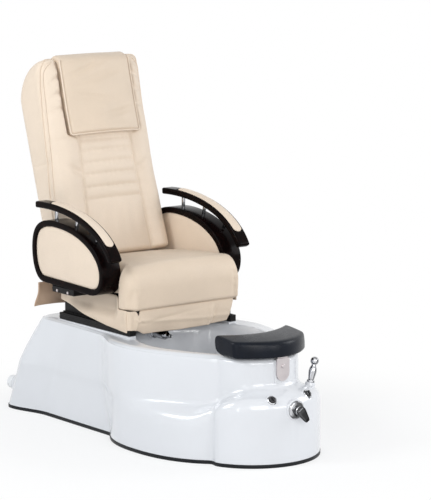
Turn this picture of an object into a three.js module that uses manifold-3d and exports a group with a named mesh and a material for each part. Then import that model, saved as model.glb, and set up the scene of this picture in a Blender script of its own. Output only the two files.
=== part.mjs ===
// Pedicure spa chair: a reclining armchair that slides on a moulded foot bath with water jets.
// Millimetres, +Z up. The sitter faces -Y and sits across X; X = 0 is the centre plane.
import * as THREE from "three";
import { mergeVertices } from "three/addons/utils/BufferGeometryUtils.js";
import Module from "manifold-3d";

const wasm = await Module();
wasm.setup();

// ---- shared fits -------------------------------------------------------------------
const SEAT_GAP = 0.3; // air between two pieces that rest against each other
const RUNNING_GAP = 0.6; // air around a pin, shank or rail that moves
const FACET_ERROR = 0.03; // largest error of a merged facet
const SOFT_GAP = 2.5; // air around upholstery
const PLATE = 5; // steel plate of the seat frame and hinges
const THROUGH = 60; // length of a drilled hole that runs right through a wall

// ---- moulded tub -------------------------------------------------------------------
const TRIM_HEIGHT = 14;
const TRIM_WIDTH = 12;
const TRIM_PROUD = 1.5;
const TUB_WALL = 6;
const NOSE_CENTRE_Y = -431;
const SKIRT_NOSE_RADIUS = 260;
const WALL_NOSE_RADIUS = 176;
const SKIRT_BOWL_HALF = 356;
const SKIRT_BOWL_Y = -150;
const SKIRT_BOWL_FRONT = 415;
const SKIRT_BOWL_REAR = 370;
const SKIRT_BOWL_POWER = 2.3;
const WALL_BOWL_HALF = SKIRT_BOWL_HALF - 6;
const WALL_BOWL_Y = -60;
const WALL_BOWL_FRONT = 500;
const WALL_BOWL_FRONT_POWER = 1.6;
const WALL_BOWL_REAR = 168;
const WALL_BOWL_REAR_POWER = 3;
const CREASE_DEPTH = 16;
const CREASE_Y = NOSE_CENTRE_Y - 57;
const CREASE_WIDTH = 24;
const SKIRT_BODY_HALF = 275;
const WALL_BODY_HALF = 281;
const BODY_START_Y = 120;
const FLARE_WIDTH = 46;
const FLARE_START_Y = 560;
const TUB_REAR_Y = 815;
const REAR_LEAN_LINEAR = 0.4208;
const REAR_LEAN_SQUARE = 0.000528;
const REAR_CORNER = 58;
const RIM_HEIGHT = 404;
const RIM_TILT = 0.013;
const LEDGE_Z = RIM_HEIGHT - 196;
const LEDGE_DROP = 76;
const LEDGE_LOW_Y = 390;
const LEDGE_HIGH_Y = 600;
const SKIRT_MIDDLE_Z = 120;
const LIP_START_Z = RIM_HEIGHT - 20; // the basin follows the tilt of the rim above this
const NOSE_STEPS = 10;
const NOSE_SWEEP = 86;
const SIDE_STEPS = 13;
const BODY_STEPS = 3;
const CORNER_STEPS = 4;

// ---- foot basin --------------------------------------------------------------------
const BASIN_CENTRE_Y = -140;
const BASIN_HALF = 262;
const BASIN_FRONT = 405;
const BASIN_REAR = 290;
const BASIN_FRONT_POWER = 1.42;
const BASIN_REAR_POWER = 2;
const BASIN_FLOOR_Z = 120;
const EGG_STEPS = 32;
const BOWL_TOP_Z = RIM_HEIGHT - 50; // joint between the bowl and the deck
const DRAIN_Y = BASIN_CENTRE_Y + 30;
const DRAIN_RADIUS = 27;
const DRAIN_FLANGE = 3;
const DRAIN_TAIL_RADIUS = DRAIN_RADIUS - 6;
const DRAIN_TAIL = 46;
const STOPPER_STEM = 11;
const STOPPER_STEM_LENGTH = 34;
const STOPPER_RADIUS = DRAIN_RADIUS - 3;
const STOPPER_HEIGHT = 7;
const JET_X = BASIN_HALF - 45;
const JET_Y = -150;
const JET_Z = 240;
const JET_RADIUS = 36;
const JET_SHANK = 15;
const JET_SHANK_LENGTH = 26;
const JET_RIM = 4;
const JET_DOME = 11;
const JET_MOUTH = 10;

// ---- fittings on the tub -----------------------------------------------------------
const BOSS_DEPTH = 12;
const BOSS_EDGE = 5;
const SHANK_RADIUS = 7;
const SHANK_LENGTH = 30;
const MIXER_Y = NOSE_CENTRE_Y - SKIRT_NOSE_RADIUS - 3;
const MIXER_Z = LEDGE_Z + 4;
const MIXER_RADIUS = 35;
const MIXER_PLATE = 9;
const MIXER_HUB = 18;
const MIXER_HUB_END = 32;
const LEVER_ROOT = 14;
const LEVER_LENGTH = 86;
const LEVER_LEAN = 32;
const KNOB_X = 85.5;
const KNOB_Y = MIXER_Y + 38;
const KNOB_Z = LEDGE_Z + 45;
const KNOB_LEAN = 42;
const KNOB_SPLAY = 0.2;
const KNOB_RADIUS = 13;
const KNOB_FACE = 11;
const KNOB_RIDGE = 16;
const BEZEL_RADIUS = 19;
const BEZEL_FLOOR = 2;
const BEZEL_RIM = 5;
const SHOWER_X = 166;
const SHOWER_Y = NOSE_CENTRE_Y - WALL_NOSE_RADIUS + 28;
const SHOWER_SEAT_Z = LEDGE_Z + 68;
const SHOWER_LEAN = 14;
const SHOWER_CUP = 15;
const SHOWER_CUP_HEIGHT = 9;
const SHOWER_SPIGOT = 8;
const SHOWER_SPIGOT_LENGTH = 18;
const SHOWER_GRIP = 15;
const SHOWER_BALL = 16;
const SHOWER_BALL_AT = 82;
const OUTLET_X = 13 - SKIRT_BODY_HALF;
const OUTLET_Y = TUB_REAR_Y - 33;
const OUTLET_Z = 94;
const OUTLET_RADIUS = 33;
const OUTLET_BORE = 22;
const OUTLET_WALL = 5;
const OUTLET_LENGTH = 63;
const OUTLET_TAIL = 60;
const OUTLET_FLANGE = 12;
const SPOUT_X = -52;
const SPOUT_Y = BASIN_CENTRE_Y + BASIN_REAR - 32;
const SPOUT_Z = RIM_HEIGHT - 18;
const SPOUT_FLANGE = 23;
const SPOUT_BODY = 19;
const SPOUT_BODY_END = 82;
const SPOUT_TIP = 8;
const SPOUT_LENGTH = 104;
const PUMP_Y = 330;
const PUMP_HANG = 120;
const PUMP_PLATE_HALF = [70, 60];
const PUMP_PLATE = 6;
const MOTOR_RADIUS = 50;
const MOTOR_LENGTH = 116;
const IMPELLER_RADIUS = 72;
const IMPELLER_LENGTH = 52;
const HOSE_RADIUS = 18;

// ---- seat slide --------------------------------------------------------------------
const PLINTH_TOP_Z = RIM_HEIGHT + 8;
const RAIL_X = 247;
const RAIL_HALF = 14;
const RAIL_FRONT_Y = -3;
const RAIL_REAR_Y = 476;
const RAIL_HEIGHT = 17;
const RAIL_WALL = 3;
const FLANGE_TOP_Z = PLINTH_TOP_Z + 26;

// ---- seat --------------------------------------------------------------------------
const SHELF_TOP_Z = FLANGE_TOP_Z + 67;
const FRAME_TOP_Z = SHELF_TOP_Z + 55;
const FRAME_FRONT_Y = -3;
const STEP_Y = 62;
const FRAME_REAR_Y = 486;
const SIDE_REAR_Y = FRAME_REAR_Y - 10;
const CROSS_LOW_Z = FRAME_TOP_Z - 40;
const CROSS_TOP_Z = FRAME_TOP_Z - 20;
const SIDE_PLATE_X = 234;
const FOOT_THICK = 4;
const CHEEK_RADIUS = 20;
const SKIRT_OUTER_X = 249.5;
const SKIRT_THICK = 6;
const SKIRT_TOP_Z = FRAME_TOP_Z - 22;
const APRON_BOTTOM_Z = RIM_HEIGHT + 12;
const APRON_THICK = 6;
const APRON_TAPER = 26;
const APRON_BELLY = 4;
const APRON_GATHER = 1.5;
const APRON_FRONT_Y = FRAME_FRONT_Y - SEAT_GAP - APRON_THICK - APRON_GATHER;
const APRON_STEPS = 16;
const CUSHION_HALF = 247;
const CUSHION_REAR_Y = 468;
const CUSHION_REAR_Z = FRAME_TOP_Z + 80;
const BOLSTER_HALF = 273;
const BOLSTER_FRONT_Y = -27;
const SEAT_TOP_Z = FRAME_TOP_Z + 118;
const SEAT_CROWN = 10;
const CUSHION_EDGE = 16;
const ROLL_HEEL = 18;
const FLAP_TOP_Y = 565;
const FLAP_TOP_Z = FRAME_TOP_Z - 10;
const FLAP_HALF = 300;
const FLAP_BOTTOM_Z = FLANGE_TOP_Z + 9;
const FLAP_KICK = 30;
const FLAP_THICK = 4;

// ---- arms --------------------------------------------------------------------------
const ARM_OUTER_X = 342;
const ARM_RAIL_WIDTH = 56;
const ARM_RAIL_THICK = 26;
const ARM_PAD_WIDTH = 40;
const PAD_FROM = 0.14;
const PAD_TO = 0.86;
const PAD_SUNK = 3;
const PAD_PROUD = 4;
const RING_INNER_X = 252;
const RING_BAND = 24;
const POST_RADIUS = 7.5;
const POST_SOCKET = 8;
const BRACKET_FRONT_Y = 262;
const BRACKET_REAR_Y = 408;
const BOLT_RADIUS = 3.5;
const BOLT_HEAD_RADIUS = 6;
const BOLT_LENGTH = 20;
const BRACKET_OUTER_X = ARM_OUTER_X - 2;
const BRACKET_BOTTOM_Z = SKIRT_TOP_Z + 3;

// ---- backrest ----------------------------------------------------------------------
const BACK_ORIGIN_Y = 423;
const BACK_ORIGIN_Z = FRAME_TOP_Z + 100;
const BACK_LEAN = 17;
const BACK_HALF = 248;
const BACK_DEPTH = 168;
const BACK_BOTTOM = 8;
const BACK_SHOULDER = 560;
const BACK_TOP = 792;
const BACK_SPLIT = 78;
const BACK_CROWN = 27;
const BACK_TOP_POWER = 2.15;
const BACK_TOP_ROUND = 60;
const BACK_FRONT_ROUND = 26;
const BACK_REAR_ROUND = 46;
const CHANNEL_FIRST = 226;
const CHANNEL_PITCH = 48.6;
const CHANNEL_DEPTH = 6;
const CHANNELS = 6;
const PIVOT_Y = 535;
const PIVOT_Z = FRAME_TOP_Z - 4;
const PIVOT_RADIUS = 8;
const HINGE_OUTER_X = 209;
const HINGE_EYE_RADIUS = 18;
const PIN_HEAD = 5;

// ---- pillow ------------------------------------------------------------------------
const PILLOW_HALF = 169;
const PILLOW_BOTTOM = 487;
const PILLOW_THICK = 34;
const PILLOW_FLAP_Y = 45;
const PILLOW_GAP = 1.5;
const PILLOW_FLAP_GAP = 3 * PILLOW_GAP;
const PILLOW_FLAP_THICK = 15;
const PILLOW_CROWN = 8;

// ---- footrest ----------------------------------------------------------------------
const PAD_HALF = 182;
const PLATE_Y = NOSE_CENTRE_Y - WALL_NOSE_RADIUS - 4;
const PAD_FRONT_Y = PLATE_Y - 16;
const PAD_BOW = 0.0022;
const PAD_DEPTH = 145;
const PAD_BOTTOM_Z = RIM_HEIGHT - 2;
const PAD_HEIGHT = 66;
const PAD_EDGE = 16;
const PLATE_HALF = 30;
const PLATE_THICK = 3;
const PLATE_TOP_Z = PAD_BOTTOM_Z - 6;
const PLATE_BOTTOM_Z = PLATE_TOP_Z - 87;
const BLADE_HALF = 24;
const BLADE_THICK = 3;
const BLADE_BOTTOM_Z = PLATE_BOTTOM_Z + 9;
const SCREW_RADIUS = 4;
const SCREW_HEAD_RADIUS = 8;
const SCREW_LENGTH = 34;
const FOOT_SCREW_Z = PLATE_TOP_Z - 30;
const FOOT_TRAVEL = 40;

// The base is centred on Y = 0 in the finished frame.
const FRAME_SHIFT_Y = -49.7;

const rad = THREE.MathUtils.degToRad;

// ---- finishes ----------------------------------------------------------------------
const finish = (color, roughness, metalness) =>
  new THREE.MeshStandardMaterial({ color, roughness, metalness });
const gelcoat = finish(0xeef0f4, 0.18, 0);
const leather = finish(0xe4d0ba, 0.55, 0);
const leatherShade = finish(0xc9a98a, 0.6, 0);
const lacquer = finish(0x20120f, 0.2, 0);
const chrome = finish(0xc9ccd0, 0.12, 1);
const steel = finish(0xb9b4b6, 0.35, 1);
const blackPaint = finish(0x141314, 0.45, 0);
const blackFoam = finish(0x17181c, 0.4, 0);
const rubber = finish(0x0f0f10, 0.7, 0);
const pumpGrey = finish(0x54585c, 0.5, 0);
const white = finish(0xe9eaec, 0.35, 0);

// ---- solids ------------------------------------------------------------------------
function solidOf(geometry) {
  const source = geometry.index ? geometry.toNonIndexed() : geometry;
  const bare = new THREE.BufferGeometry();
  bare.setAttribute("position", source.getAttribute("position"));
  const merged = mergeVertices(bare, 1e-3);
  const vertProperties = new Float32Array(merged.attributes.position.array);
  const triVerts = new Uint32Array(merged.index.array);
  return new wasm.Manifold(new wasm.Mesh({ numProp: 3, vertProperties, triVerts }));
}

function geometryOf(solid) {
  const data = solid.getMesh();
  const geometry = new THREE.BufferGeometry();
  geometry.setAttribute("position", new THREE.BufferAttribute(new Float32Array(data.vertProperties), 3));
  geometry.setIndex(new THREE.BufferAttribute(new Uint32Array(data.triVerts), 1));
  geometry.computeVertexNormals();
  return geometry;
}

function part(name, solid, material) {
  const mesh = new THREE.Mesh(geometryOf(solid.simplify(FACET_ERROR)), material);
  mesh.name = name;
  return mesh;
}

function joined(first, ...others) {
  return others.reduce((sum, other) => sum.add(other), first);
}

// A box given by its low and high corner.
function block(low, high) {
  const size = high.map((value, i) => value - low[i]);
  const middle = high.map((value, i) => (value + low[i]) / 2);
  return solidOf(new THREE.BoxGeometry(...size).translate(...middle));
}

// A turned solid: profile pairs are [radius, distance along the axis], from the axis and back to it.
function turned(profile, origin, direction, segments = 16) {
  const points = profile.map(([radius, along]) => new THREE.Vector2(radius, along));
  const geometry = new THREE.LatheGeometry(points, segments);
  const turn = new THREE.Quaternion().setFromUnitVectors(
    new THREE.Vector3(0, 1, 0),
    new THREE.Vector3(...direction).normalize(),
  );
  return solidOf(geometry.applyQuaternion(turn).translate(...origin));
}

// A round bar from one point along a direction.
function bar(radius, length, origin, direction, segments = 16) {
  const profile = [
    [0, 0],
    [radius, 0],
    [radius, length],
    [0, length],
  ];
  return turned(profile, origin, direction, segments);
}

// A side profile in (Y, Z) pushed along X, with an optional rounded edge of the given size.
function slab(shape, fromX, toX, edge = 0) {
  const geometry = new THREE.ExtrudeGeometry(shape, {
    depth: toX - fromX - 2 * edge,
    bevelEnabled: edge > 0,
    bevelSize: edge,
    bevelThickness: edge,
    bevelOffset: -edge,
    bevelSegments: 1,
    curveSegments: 6,
  });
  const axes = new THREE.Matrix4().makeBasis(
    new THREE.Vector3(0, 1, 0),
    new THREE.Vector3(0, 0, 1),
    new THREE.Vector3(1, 0, 0),
  );
  geometry.applyMatrix4(axes).translate(fromX + edge, 0, 0);
  return solidOf(geometry);
}

function middlePoint(points) {
  return [0, 1, 2].map((axis) => points.reduce((sum, point) => sum + point[axis], 0) / points.length);
}

// A skin over rings of equal point count, each end closed by a fan from its middle.
function loft(rings, middleOf = middlePoint) {
  const count = rings[0].length;
  const points = rings.flat();
  const index = [];
  for (let k = 0; k < rings.length - 1; k += 1) {
    for (let i = 0; i < count; i += 1) {
      const a = k * count + i;
      const b = k * count + ((i + 1) % count);
      index.push(a, b, b + count, a, b + count, a + count);
    }
  }
  const last = (rings.length - 1) * count;
  const firstMiddle = points.length;
  points.push(middleOf(rings[0]), middleOf(rings[rings.length - 1]));
  for (let i = 0; i < count; i += 1) {
    const next = (i + 1) % count;
    index.push(firstMiddle, next, i, firstMiddle + 1, last + i, last + next);
  }
  const geometry = new THREE.BufferGeometry();
  geometry.setAttribute("position", new THREE.Float32BufferAttribute(points.flat(), 3));
  geometry.setIndex(index);
  return solidOf(geometry);
}

// Moves every corner of a closed outline inwards; the outline runs counter-clockwise.
function inset(outline, distance) {
  const count = outline.length;
  return outline.map(([x, y], i) => {
    const before = outline[(i + count - 1) % count];
    const after = outline[(i + 1) % count];
    const run = [after[0] - before[0], after[1] - before[1]];
    const length = Math.hypot(...run) || 1;
    return [x - (run[1] / length) * distance, y + (run[0] / length) * distance];
  });
}

// Draws a section in towards the middle of its own box, so small corners never cross.
function shrunk(outline, distance) {
  const middle = [0, 1].map((axis) => {
    const values = outline.map((point) => point[axis]);
    const low = Math.min(...values);
    const high = Math.max(...values);
    return { centre: (low + high) / 2, share: 1 - (2 * distance) / (high - low) };
  });
  return outline.map((point) => point.map((value, i) => mix(middle[i].centre, value, middle[i].share)));
}

function mix(a, b, share) {
  return a + (b - a) * share;
}

function smooth(value, start, end) {
  return THREE.MathUtils.smoothstep(value, start, end);
}

function superHalf(half, distance, length, power) {
  const share = Math.min(Math.abs(distance) / length, 1);
  return half * Math.pow(1 - Math.pow(share, power), 1 / power);
}

// ---- tub ---------------------------------------------------------------------------
function arcHalf(y, radius) {
  const distance = Math.abs(y - NOSE_CENTRE_Y);
  return distance < radius ? Math.sqrt(radius ** 2 - distance ** 2) : 0;
}

// Half width of the lower skirt at a station, with the fold where the nose lobe meets the bowl.
function skirtHalf(y) {
  const length = y < SKIRT_BOWL_Y ? SKIRT_BOWL_FRONT : SKIRT_BOWL_REAR;
  const bowl = superHalf(SKIRT_BOWL_HALF, y - SKIRT_BOWL_Y, length, SKIRT_BOWL_POWER);
  const fold = CREASE_DEPTH * Math.exp(-(((y - CREASE_Y) / CREASE_WIDTH) ** 2));
  const body = y > WALL_BOWL_Y ? SKIRT_BODY_HALF : 0;
  return Math.max(bowl, arcHalf(y, SKIRT_NOSE_RADIUS) - fold, body);
}

// Half width of the upper wall at a station.
function wallHalf(y) {
  const forward = y < WALL_BOWL_Y;
  const length = forward ? WALL_BOWL_FRONT : WALL_BOWL_REAR;
  const power = forward ? WALL_BOWL_FRONT_POWER : WALL_BOWL_REAR_POWER;
  const bowl = superHalf(WALL_BOWL_HALF, y - WALL_BOWL_Y, length, power);
  return Math.max(bowl, arcHalf(y, WALL_NOSE_RADIUS), forward ? 0 : WALL_BODY_HALF);
}

// The rear corners of the base spread outwards near the floor.
function flare(y, blend) {
  return (1 - blend) * FLARE_WIDTH * smooth(y, FLARE_START_Y, TUB_REAR_Y - REAR_CORNER);
}

// Half of the tub's plan outline, from the nose to the middle of the rear wall.
// blend 0 is the outer skirt, 1 is the upper wall; rearY is where the rear wall stands at this height.
function tubHalf(blend, rearY) {
  const half = [];
  const sideStart = NOSE_CENTRE_Y - 20;
  for (let i = 0; i <= NOSE_STEPS; i += 1) {
    const reach = Math.cos(rad((NOSE_SWEEP * i) / NOSE_STEPS));
    const skirtY = NOSE_CENTRE_Y - SKIRT_NOSE_RADIUS * reach;
    const wallY = NOSE_CENTRE_Y - WALL_NOSE_RADIUS * reach;
    half.push([mix(skirtHalf(skirtY), wallHalf(wallY), blend), mix(skirtY, wallY, blend)]);
  }
  for (let i = 1; i <= SIDE_STEPS; i += 1) {
    const y = mix(sideStart, BODY_START_Y, i / SIDE_STEPS);
    half.push([mix(skirtHalf(y), wallHalf(y), blend), y]);
  }
  const bodyHalf = mix(SKIRT_BODY_HALF, WALL_BODY_HALF, blend);
  const cornerY = rearY - REAR_CORNER;
  for (let i = 1; i <= BODY_STEPS; i += 1) {
    const y = mix(BODY_START_Y, cornerY, i / BODY_STEPS);
    half.push([bodyHalf + flare(y, blend), y]);
  }
  const cornerX = bodyHalf + flare(cornerY, blend) - REAR_CORNER;
  for (let i = 1; i <= CORNER_STEPS; i += 1) {
    const angle = rad((90 * i) / CORNER_STEPS);
    half.push([cornerX + REAR_CORNER * Math.cos(angle), cornerY + REAR_CORNER * Math.sin(angle)]);
  }
  half.push([0, rearY]);
  return half;
}

function mirrored(half) {
  const back = half.slice(1, -1).reverse();
  return [...half, ...back.map(([x, y]) => [-x, y])];
}

function rearAt(z) {
  return TUB_REAR_Y - REAR_LEAN_LINEAR * z - REAR_LEAN_SQUARE * z * z;
}

// One level of the tub. The ledge between skirt and wall is lower along the sides than at the nose,
// and the rim tilts down a little towards the nose.
function tubRing(level, extraInset, lower) {
  const { z, blend, ledge, rim, shrink } = level;
  const outline = inset(mirrored(tubHalf(blend, rearAt(z))), shrink + extraInset);
  return outline.map(([x, y]) => {
    const front = smooth(-y, LEDGE_LOW_Y, LEDGE_HIGH_Y);
    return [x, y, z - LEDGE_DROP * ledge * (1 - front) + rim * RIM_TILT * y - lower];
  });
}

const TUB_LEVELS = [
  { z: TRIM_HEIGHT + SEAT_GAP, blend: 0, ledge: 0, rim: 0, shrink: 0 },
  { z: SKIRT_MIDDLE_Z, blend: 0, ledge: 0.4, rim: 0, shrink: 0 },
  { z: LEDGE_Z, blend: 0, ledge: 1, rim: 0, shrink: 0 },
  { z: LEDGE_Z + 28, blend: 0.07, ledge: 1, rim: 0, shrink: 0 },
  { z: LEDGE_Z + 46, blend: 0.22, ledge: 1, rim: 0, shrink: 0 },
  { z: LEDGE_Z + 60, blend: 0.5, ledge: 1, rim: 0, shrink: 0 },
  { z: LEDGE_Z + 74, blend: 0.82, ledge: 1, rim: 0, shrink: 0 },
  { z: LEDGE_Z + 86, blend: 0.95, ledge: 1, rim: 0, shrink: 0 },
  { z: LEDGE_Z + 106, blend: 1, ledge: 0.9, rim: 0, shrink: 0 },
  { z: RIM_HEIGHT - 26, blend: 1, ledge: 0, rim: 1, shrink: 0 },
  { z: RIM_HEIGHT - 10, blend: 1, ledge: 0, rim: 1, shrink: 5 },
  { z: RIM_HEIGHT - 2, blend: 1, ledge: 0, rim: 1, shrink: 15 },
  { z: RIM_HEIGHT, blend: 1, ledge: 0, rim: 1, shrink: 26 },
];
const HOLLOW_LEVELS = [0, 2, 4, 7, 10];

// Plan outline of the foot basin: a blunt egg, pointed towards the nose.
function eggOutline(shrink) {
  const outline = [];
  for (let i = 0; i < EGG_STEPS; i += 1) {
    const angle = (2 * Math.PI * i) / EGG_STEPS;
    const side = Math.cos(angle);
    const along = Math.sin(angle);
    const power = 2 / (along < 0 ? BASIN_FRONT_POWER : BASIN_REAR_POWER);
    const length = along < 0 ? BASIN_FRONT : BASIN_REAR;
    const x = Math.sign(side) * Math.abs(side) ** power * (BASIN_HALF - shrink);
    const y = BASIN_CENTRE_Y + Math.sign(along) * Math.abs(along) ** power * (length - shrink);
    outline.push([x, y]);
  }
  return outline;
}

const BASIN_LEVELS = [
  [BASIN_FLOOR_Z, 128],
  [BASIN_FLOOR_Z + 5, 100],
  [BASIN_FLOOR_Z + 22, 70],
  [BASIN_FLOOR_Z + 60, 46],
  [BASIN_FLOOR_Z + 150, 22],
  [RIM_HEIGHT - 14, 4],
  [RIM_HEIGHT - 5, 0],
  [RIM_HEIGHT, -6],
  [RIM_HEIGHT + 8, -14],
];
const BASIN_BACK_LEVELS = [0, 2, 3, 4, 8];

function basinVolume(levels, wall) {
  const rings = levels.map(([z, shrink]) => {
    const tilt = z > LIP_START_Z ? RIM_TILT : 0;
    return eggOutline(shrink - wall).map(([x, y]) => [x, y, z + tilt * y - wall]);
  });
  return loft(rings);
}

// Steps along a direction from a point.
function along(point, axis, distance) {
  const unit = new THREE.Vector3(...axis).normalize();
  return point.map((value, i) => value + unit.getComponent(i) * distance);
}

function knobAxis(side) {
  const lean = rad(KNOB_LEAN);
  return [side * KNOB_SPLAY, -Math.cos(lean), Math.sin(lean)];
}

function knobPoint(side) {
  return [side * KNOB_X, KNOB_Y, KNOB_Z];
}

function showerAxis() {
  const lean = rad(SHOWER_LEAN);
  return [Math.sin(lean), 0, Math.cos(lean)];
}

const SHOWER_POINT = [SHOWER_X, SHOWER_Y, SHOWER_SEAT_Z];
const BACKWARD = [0, 1, 0];
const FORWARD = [0, -1, 0];
const UPWARD = [0, 0, 1];

function fittingBosses() {
  const outletSeat = [OUTLET_X, OUTLET_Y - 2 * BOSS_DEPTH, OUTLET_Z];
  const plateHalf = PLATE_HALF + 4;
  const plateBack = PLATE_Y + BOSS_DEPTH + 8;
  const bosses = [
    bar(MIXER_RADIUS + BOSS_EDGE, BOSS_DEPTH, [0, MIXER_Y, MIXER_Z], BACKWARD, 16),
    bar(OUTLET_RADIUS + BOSS_EDGE, 2 * BOSS_DEPTH, outletSeat, BACKWARD, 16),
    bar(SPOUT_FLANGE + 2, 2 * BOSS_DEPTH + 4, [SPOUT_X, SPOUT_Y, SPOUT_Z], BACKWARD),
    bar(SHOWER_CUP + 4, 2 * BOSS_DEPTH, along(SHOWER_POINT, showerAxis(), -2 * BOSS_DEPTH), showerAxis(), 12),
    block([-plateHalf, PLATE_Y, PLATE_BOTTOM_Z - 8], [plateHalf, plateBack, PLATE_TOP_Z - 4]),
  ];
  for (const side of [-1, 1]) {
    const start = along(knobPoint(side), knobAxis(side), -BOSS_DEPTH);
    bosses.push(bar(BEZEL_RADIUS + BOSS_EDGE, BOSS_DEPTH, start, knobAxis(side), 12));
    bosses.push(bar(JET_RADIUS + BOSS_EDGE, 2 * BOSS_DEPTH, [side * JET_X, JET_Y, JET_Z], [side, 0, 0], 16));
  }
  return bosses;
}

function fittingHoles() {
  const hole = SHANK_RADIUS + SEAT_GAP;
  const holes = [
    bar(hole, THROUGH, [0, MIXER_Y + 40, MIXER_Z], FORWARD, 16),
    bar(OUTLET_BORE + OUTLET_WALL + SEAT_GAP, 90, [OUTLET_X, OUTLET_Y + 30, OUTLET_Z], FORWARD),
    bar(hole, THROUGH, [SPOUT_X, SPOUT_Y + 45, SPOUT_Z], FORWARD, 16),
    bar(SCREW_RADIUS + SEAT_GAP, 50, [0, PLATE_Y + 40, FOOT_SCREW_Z], FORWARD, 16),
    bar(DRAIN_TAIL_RADIUS + SEAT_GAP, THROUGH, [0, DRAIN_Y, BASIN_FLOOR_Z - 40], UPWARD),
    bar(DRAIN_RADIUS + SEAT_GAP, 30, [0, DRAIN_Y, BASIN_FLOOR_Z - DRAIN_FLANGE], UPWARD),
    bar(SHOWER_SPIGOT + RUNNING_GAP, THROUGH, along(SHOWER_POINT, showerAxis(), -40), showerAxis(), 16),
  ];
  for (const side of [-1, 1]) {
    holes.push(bar(hole, THROUGH, along(knobPoint(side), knobAxis(side), -40), knobAxis(side), 16));
    holes.push(bar(BEZEL_RADIUS + 1, 30, knobPoint(side), knobAxis(side), 12));
    holes.push(bar(JET_SHANK + SEAT_GAP, THROUGH, [side * (JET_X - 20), JET_Y, JET_Z], [side, 0, 0], 20));
  }
  return holes;
}

function railPlinth(side) {
  const half = RAIL_HALF + 4;
  const low = [side * RAIL_X - half, RAIL_FRONT_Y + 4, RIM_HEIGHT - 8];
  const high = [side * RAIL_X + half, RAIL_REAR_Y + 8, PLINTH_TOP_Z];
  return block(low, high);
}

// The whole thin moulding: ledge, fold and rim outside, foot basin inside, open underneath.
function tubMoulding() {
  const outer = loft(TUB_LEVELS.map((level) => tubRing(level, 0, 0)));
  const hollowRings = HOLLOW_LEVELS.map((i) => tubRing(TUB_LEVELS[i], TUB_WALL, TUB_WALL));
  hollowRings[0] = hollowRings[0].map(([x, y]) => [x, y, 0]);
  const basinBack = basinVolume(BASIN_BACK_LEVELS.map((i) => BASIN_LEVELS[i]), TUB_WALL);
  const hollow = loft(hollowRings).subtract(basinBack);
  let moulding = joined(outer.subtract(hollow), railPlinth(-1), railPlinth(1));
  moulding = moulding.subtract(basinVolume(BASIN_LEVELS, 0));
  moulding = joined(moulding, ...fittingBosses());
  return fittingHoles().reduce((rest, hole) => rest.subtract(hole), moulding);
}

// The room of the bowl's wall and jet seats below the joint, grown by a gap.
function bowlZone(gap) {
  const levels = BASIN_BACK_LEVELS.map((i) => BASIN_LEVELS[i]);
  const reach = SKIRT_BOWL_HALF;
  const below = block(
    [-reach, BASIN_CENTRE_Y - BASIN_FRONT - TUB_WALL - 10, 0],
    [reach, BASIN_CENTRE_Y + BASIN_REAR + TUB_WALL + 10, BOWL_TOP_Z + gap],
  );
  const seats = [-1, 1].map((side) => {
    const depth = 2 * BOSS_DEPTH + gap;
    return bar(JET_RADIUS + BOSS_EDGE + gap, depth, [side * JET_X, JET_Y, JET_Z], [side, 0, 0], 16);
  });
  return joined(basinVolume(levels, TUB_WALL + gap), ...seats).intersect(below);
}

function baseTrim() {
  const outline = mirrored(tubHalf(0, TUB_REAR_Y));
  const band = (distance, low, high) =>
    loft([low, high].map((z) => inset(outline, distance).map(([x, y]) => [x, y, z])));
  return band(-TRIM_PROUD, 0, TRIM_HEIGHT).subtract(band(TRIM_WIDTH, -5, TRIM_HEIGHT + 5));
}

// ---- fixed fittings of the tub -----------------------------------------------------
function drainOutlet() {
  const outer = OUTLET_BORE + OUTLET_WALL;
  const profile = [
    [OUTLET_BORE, -OUTLET_TAIL],
    [outer, -OUTLET_TAIL],
    [outer, SEAT_GAP],
    [OUTLET_RADIUS, SEAT_GAP],
    [OUTLET_RADIUS, OUTLET_FLANGE],
    [outer, OUTLET_FLANGE + 4],
    [outer, OUTLET_LENGTH],
    [OUTLET_BORE, OUTLET_LENGTH],
    [OUTLET_BORE, -OUTLET_TAIL],
  ];
  return turned(profile, [OUTLET_X, OUTLET_Y, OUTLET_Z], BACKWARD);
}

function basinSpout() {
  const profile = [
    [0, -SHANK_LENGTH],
    [SHANK_RADIUS, -SHANK_LENGTH],
    [SHANK_RADIUS, SEAT_GAP],
    [SPOUT_FLANGE, SEAT_GAP],
    [SPOUT_FLANGE, 6],
    [SPOUT_BODY - 2, 9],
    [SPOUT_BODY, 40],
    [SPOUT_BODY, SPOUT_BODY_END - 12],
    [SPOUT_BODY - 6, SPOUT_BODY_END],
    [SPOUT_TIP, SPOUT_BODY_END + 4],
    [SPOUT_TIP, SPOUT_LENGTH],
    [SPOUT_TIP - 3, SPOUT_LENGTH],
    [SPOUT_TIP - 3, SPOUT_LENGTH - 12],
    [0, SPOUT_LENGTH - 12],
  ];
  return turned(profile, [SPOUT_X, SPOUT_Y, SPOUT_Z], FORWARD);
}

function jetCover(side) {
  const profile = [
    [0, -JET_SHANK_LENGTH],
    [JET_SHANK, -JET_SHANK_LENGTH],
    [JET_SHANK, SEAT_GAP],
    [JET_RADIUS, SEAT_GAP],
    [JET_RADIUS, JET_RIM],
    [JET_RADIUS - 8, JET_DOME - 2],
    [JET_MOUTH + 3, JET_DOME],
    [JET_MOUTH, JET_DOME - 3],
    [0, JET_DOME - 3],
  ];
  return turned(profile, [side * JET_X, JET_Y, JET_Z], [-side, 0, 0], 16);
}

function drainBody() {
  const bore = STOPPER_STEM + RUNNING_GAP;
  const profile = [
    [bore, -DRAIN_TAIL],
    [DRAIN_TAIL_RADIUS, -DRAIN_TAIL],
    [DRAIN_TAIL_RADIUS, SEAT_GAP - DRAIN_FLANGE],
    [DRAIN_RADIUS, SEAT_GAP - DRAIN_FLANGE],
    [DRAIN_RADIUS, 0],
    [bore, 0],
    [bore, -DRAIN_TAIL],
  ];
  return turned(profile, [0, DRAIN_Y, BASIN_FLOOR_Z], UPWARD, 16);
}

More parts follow.
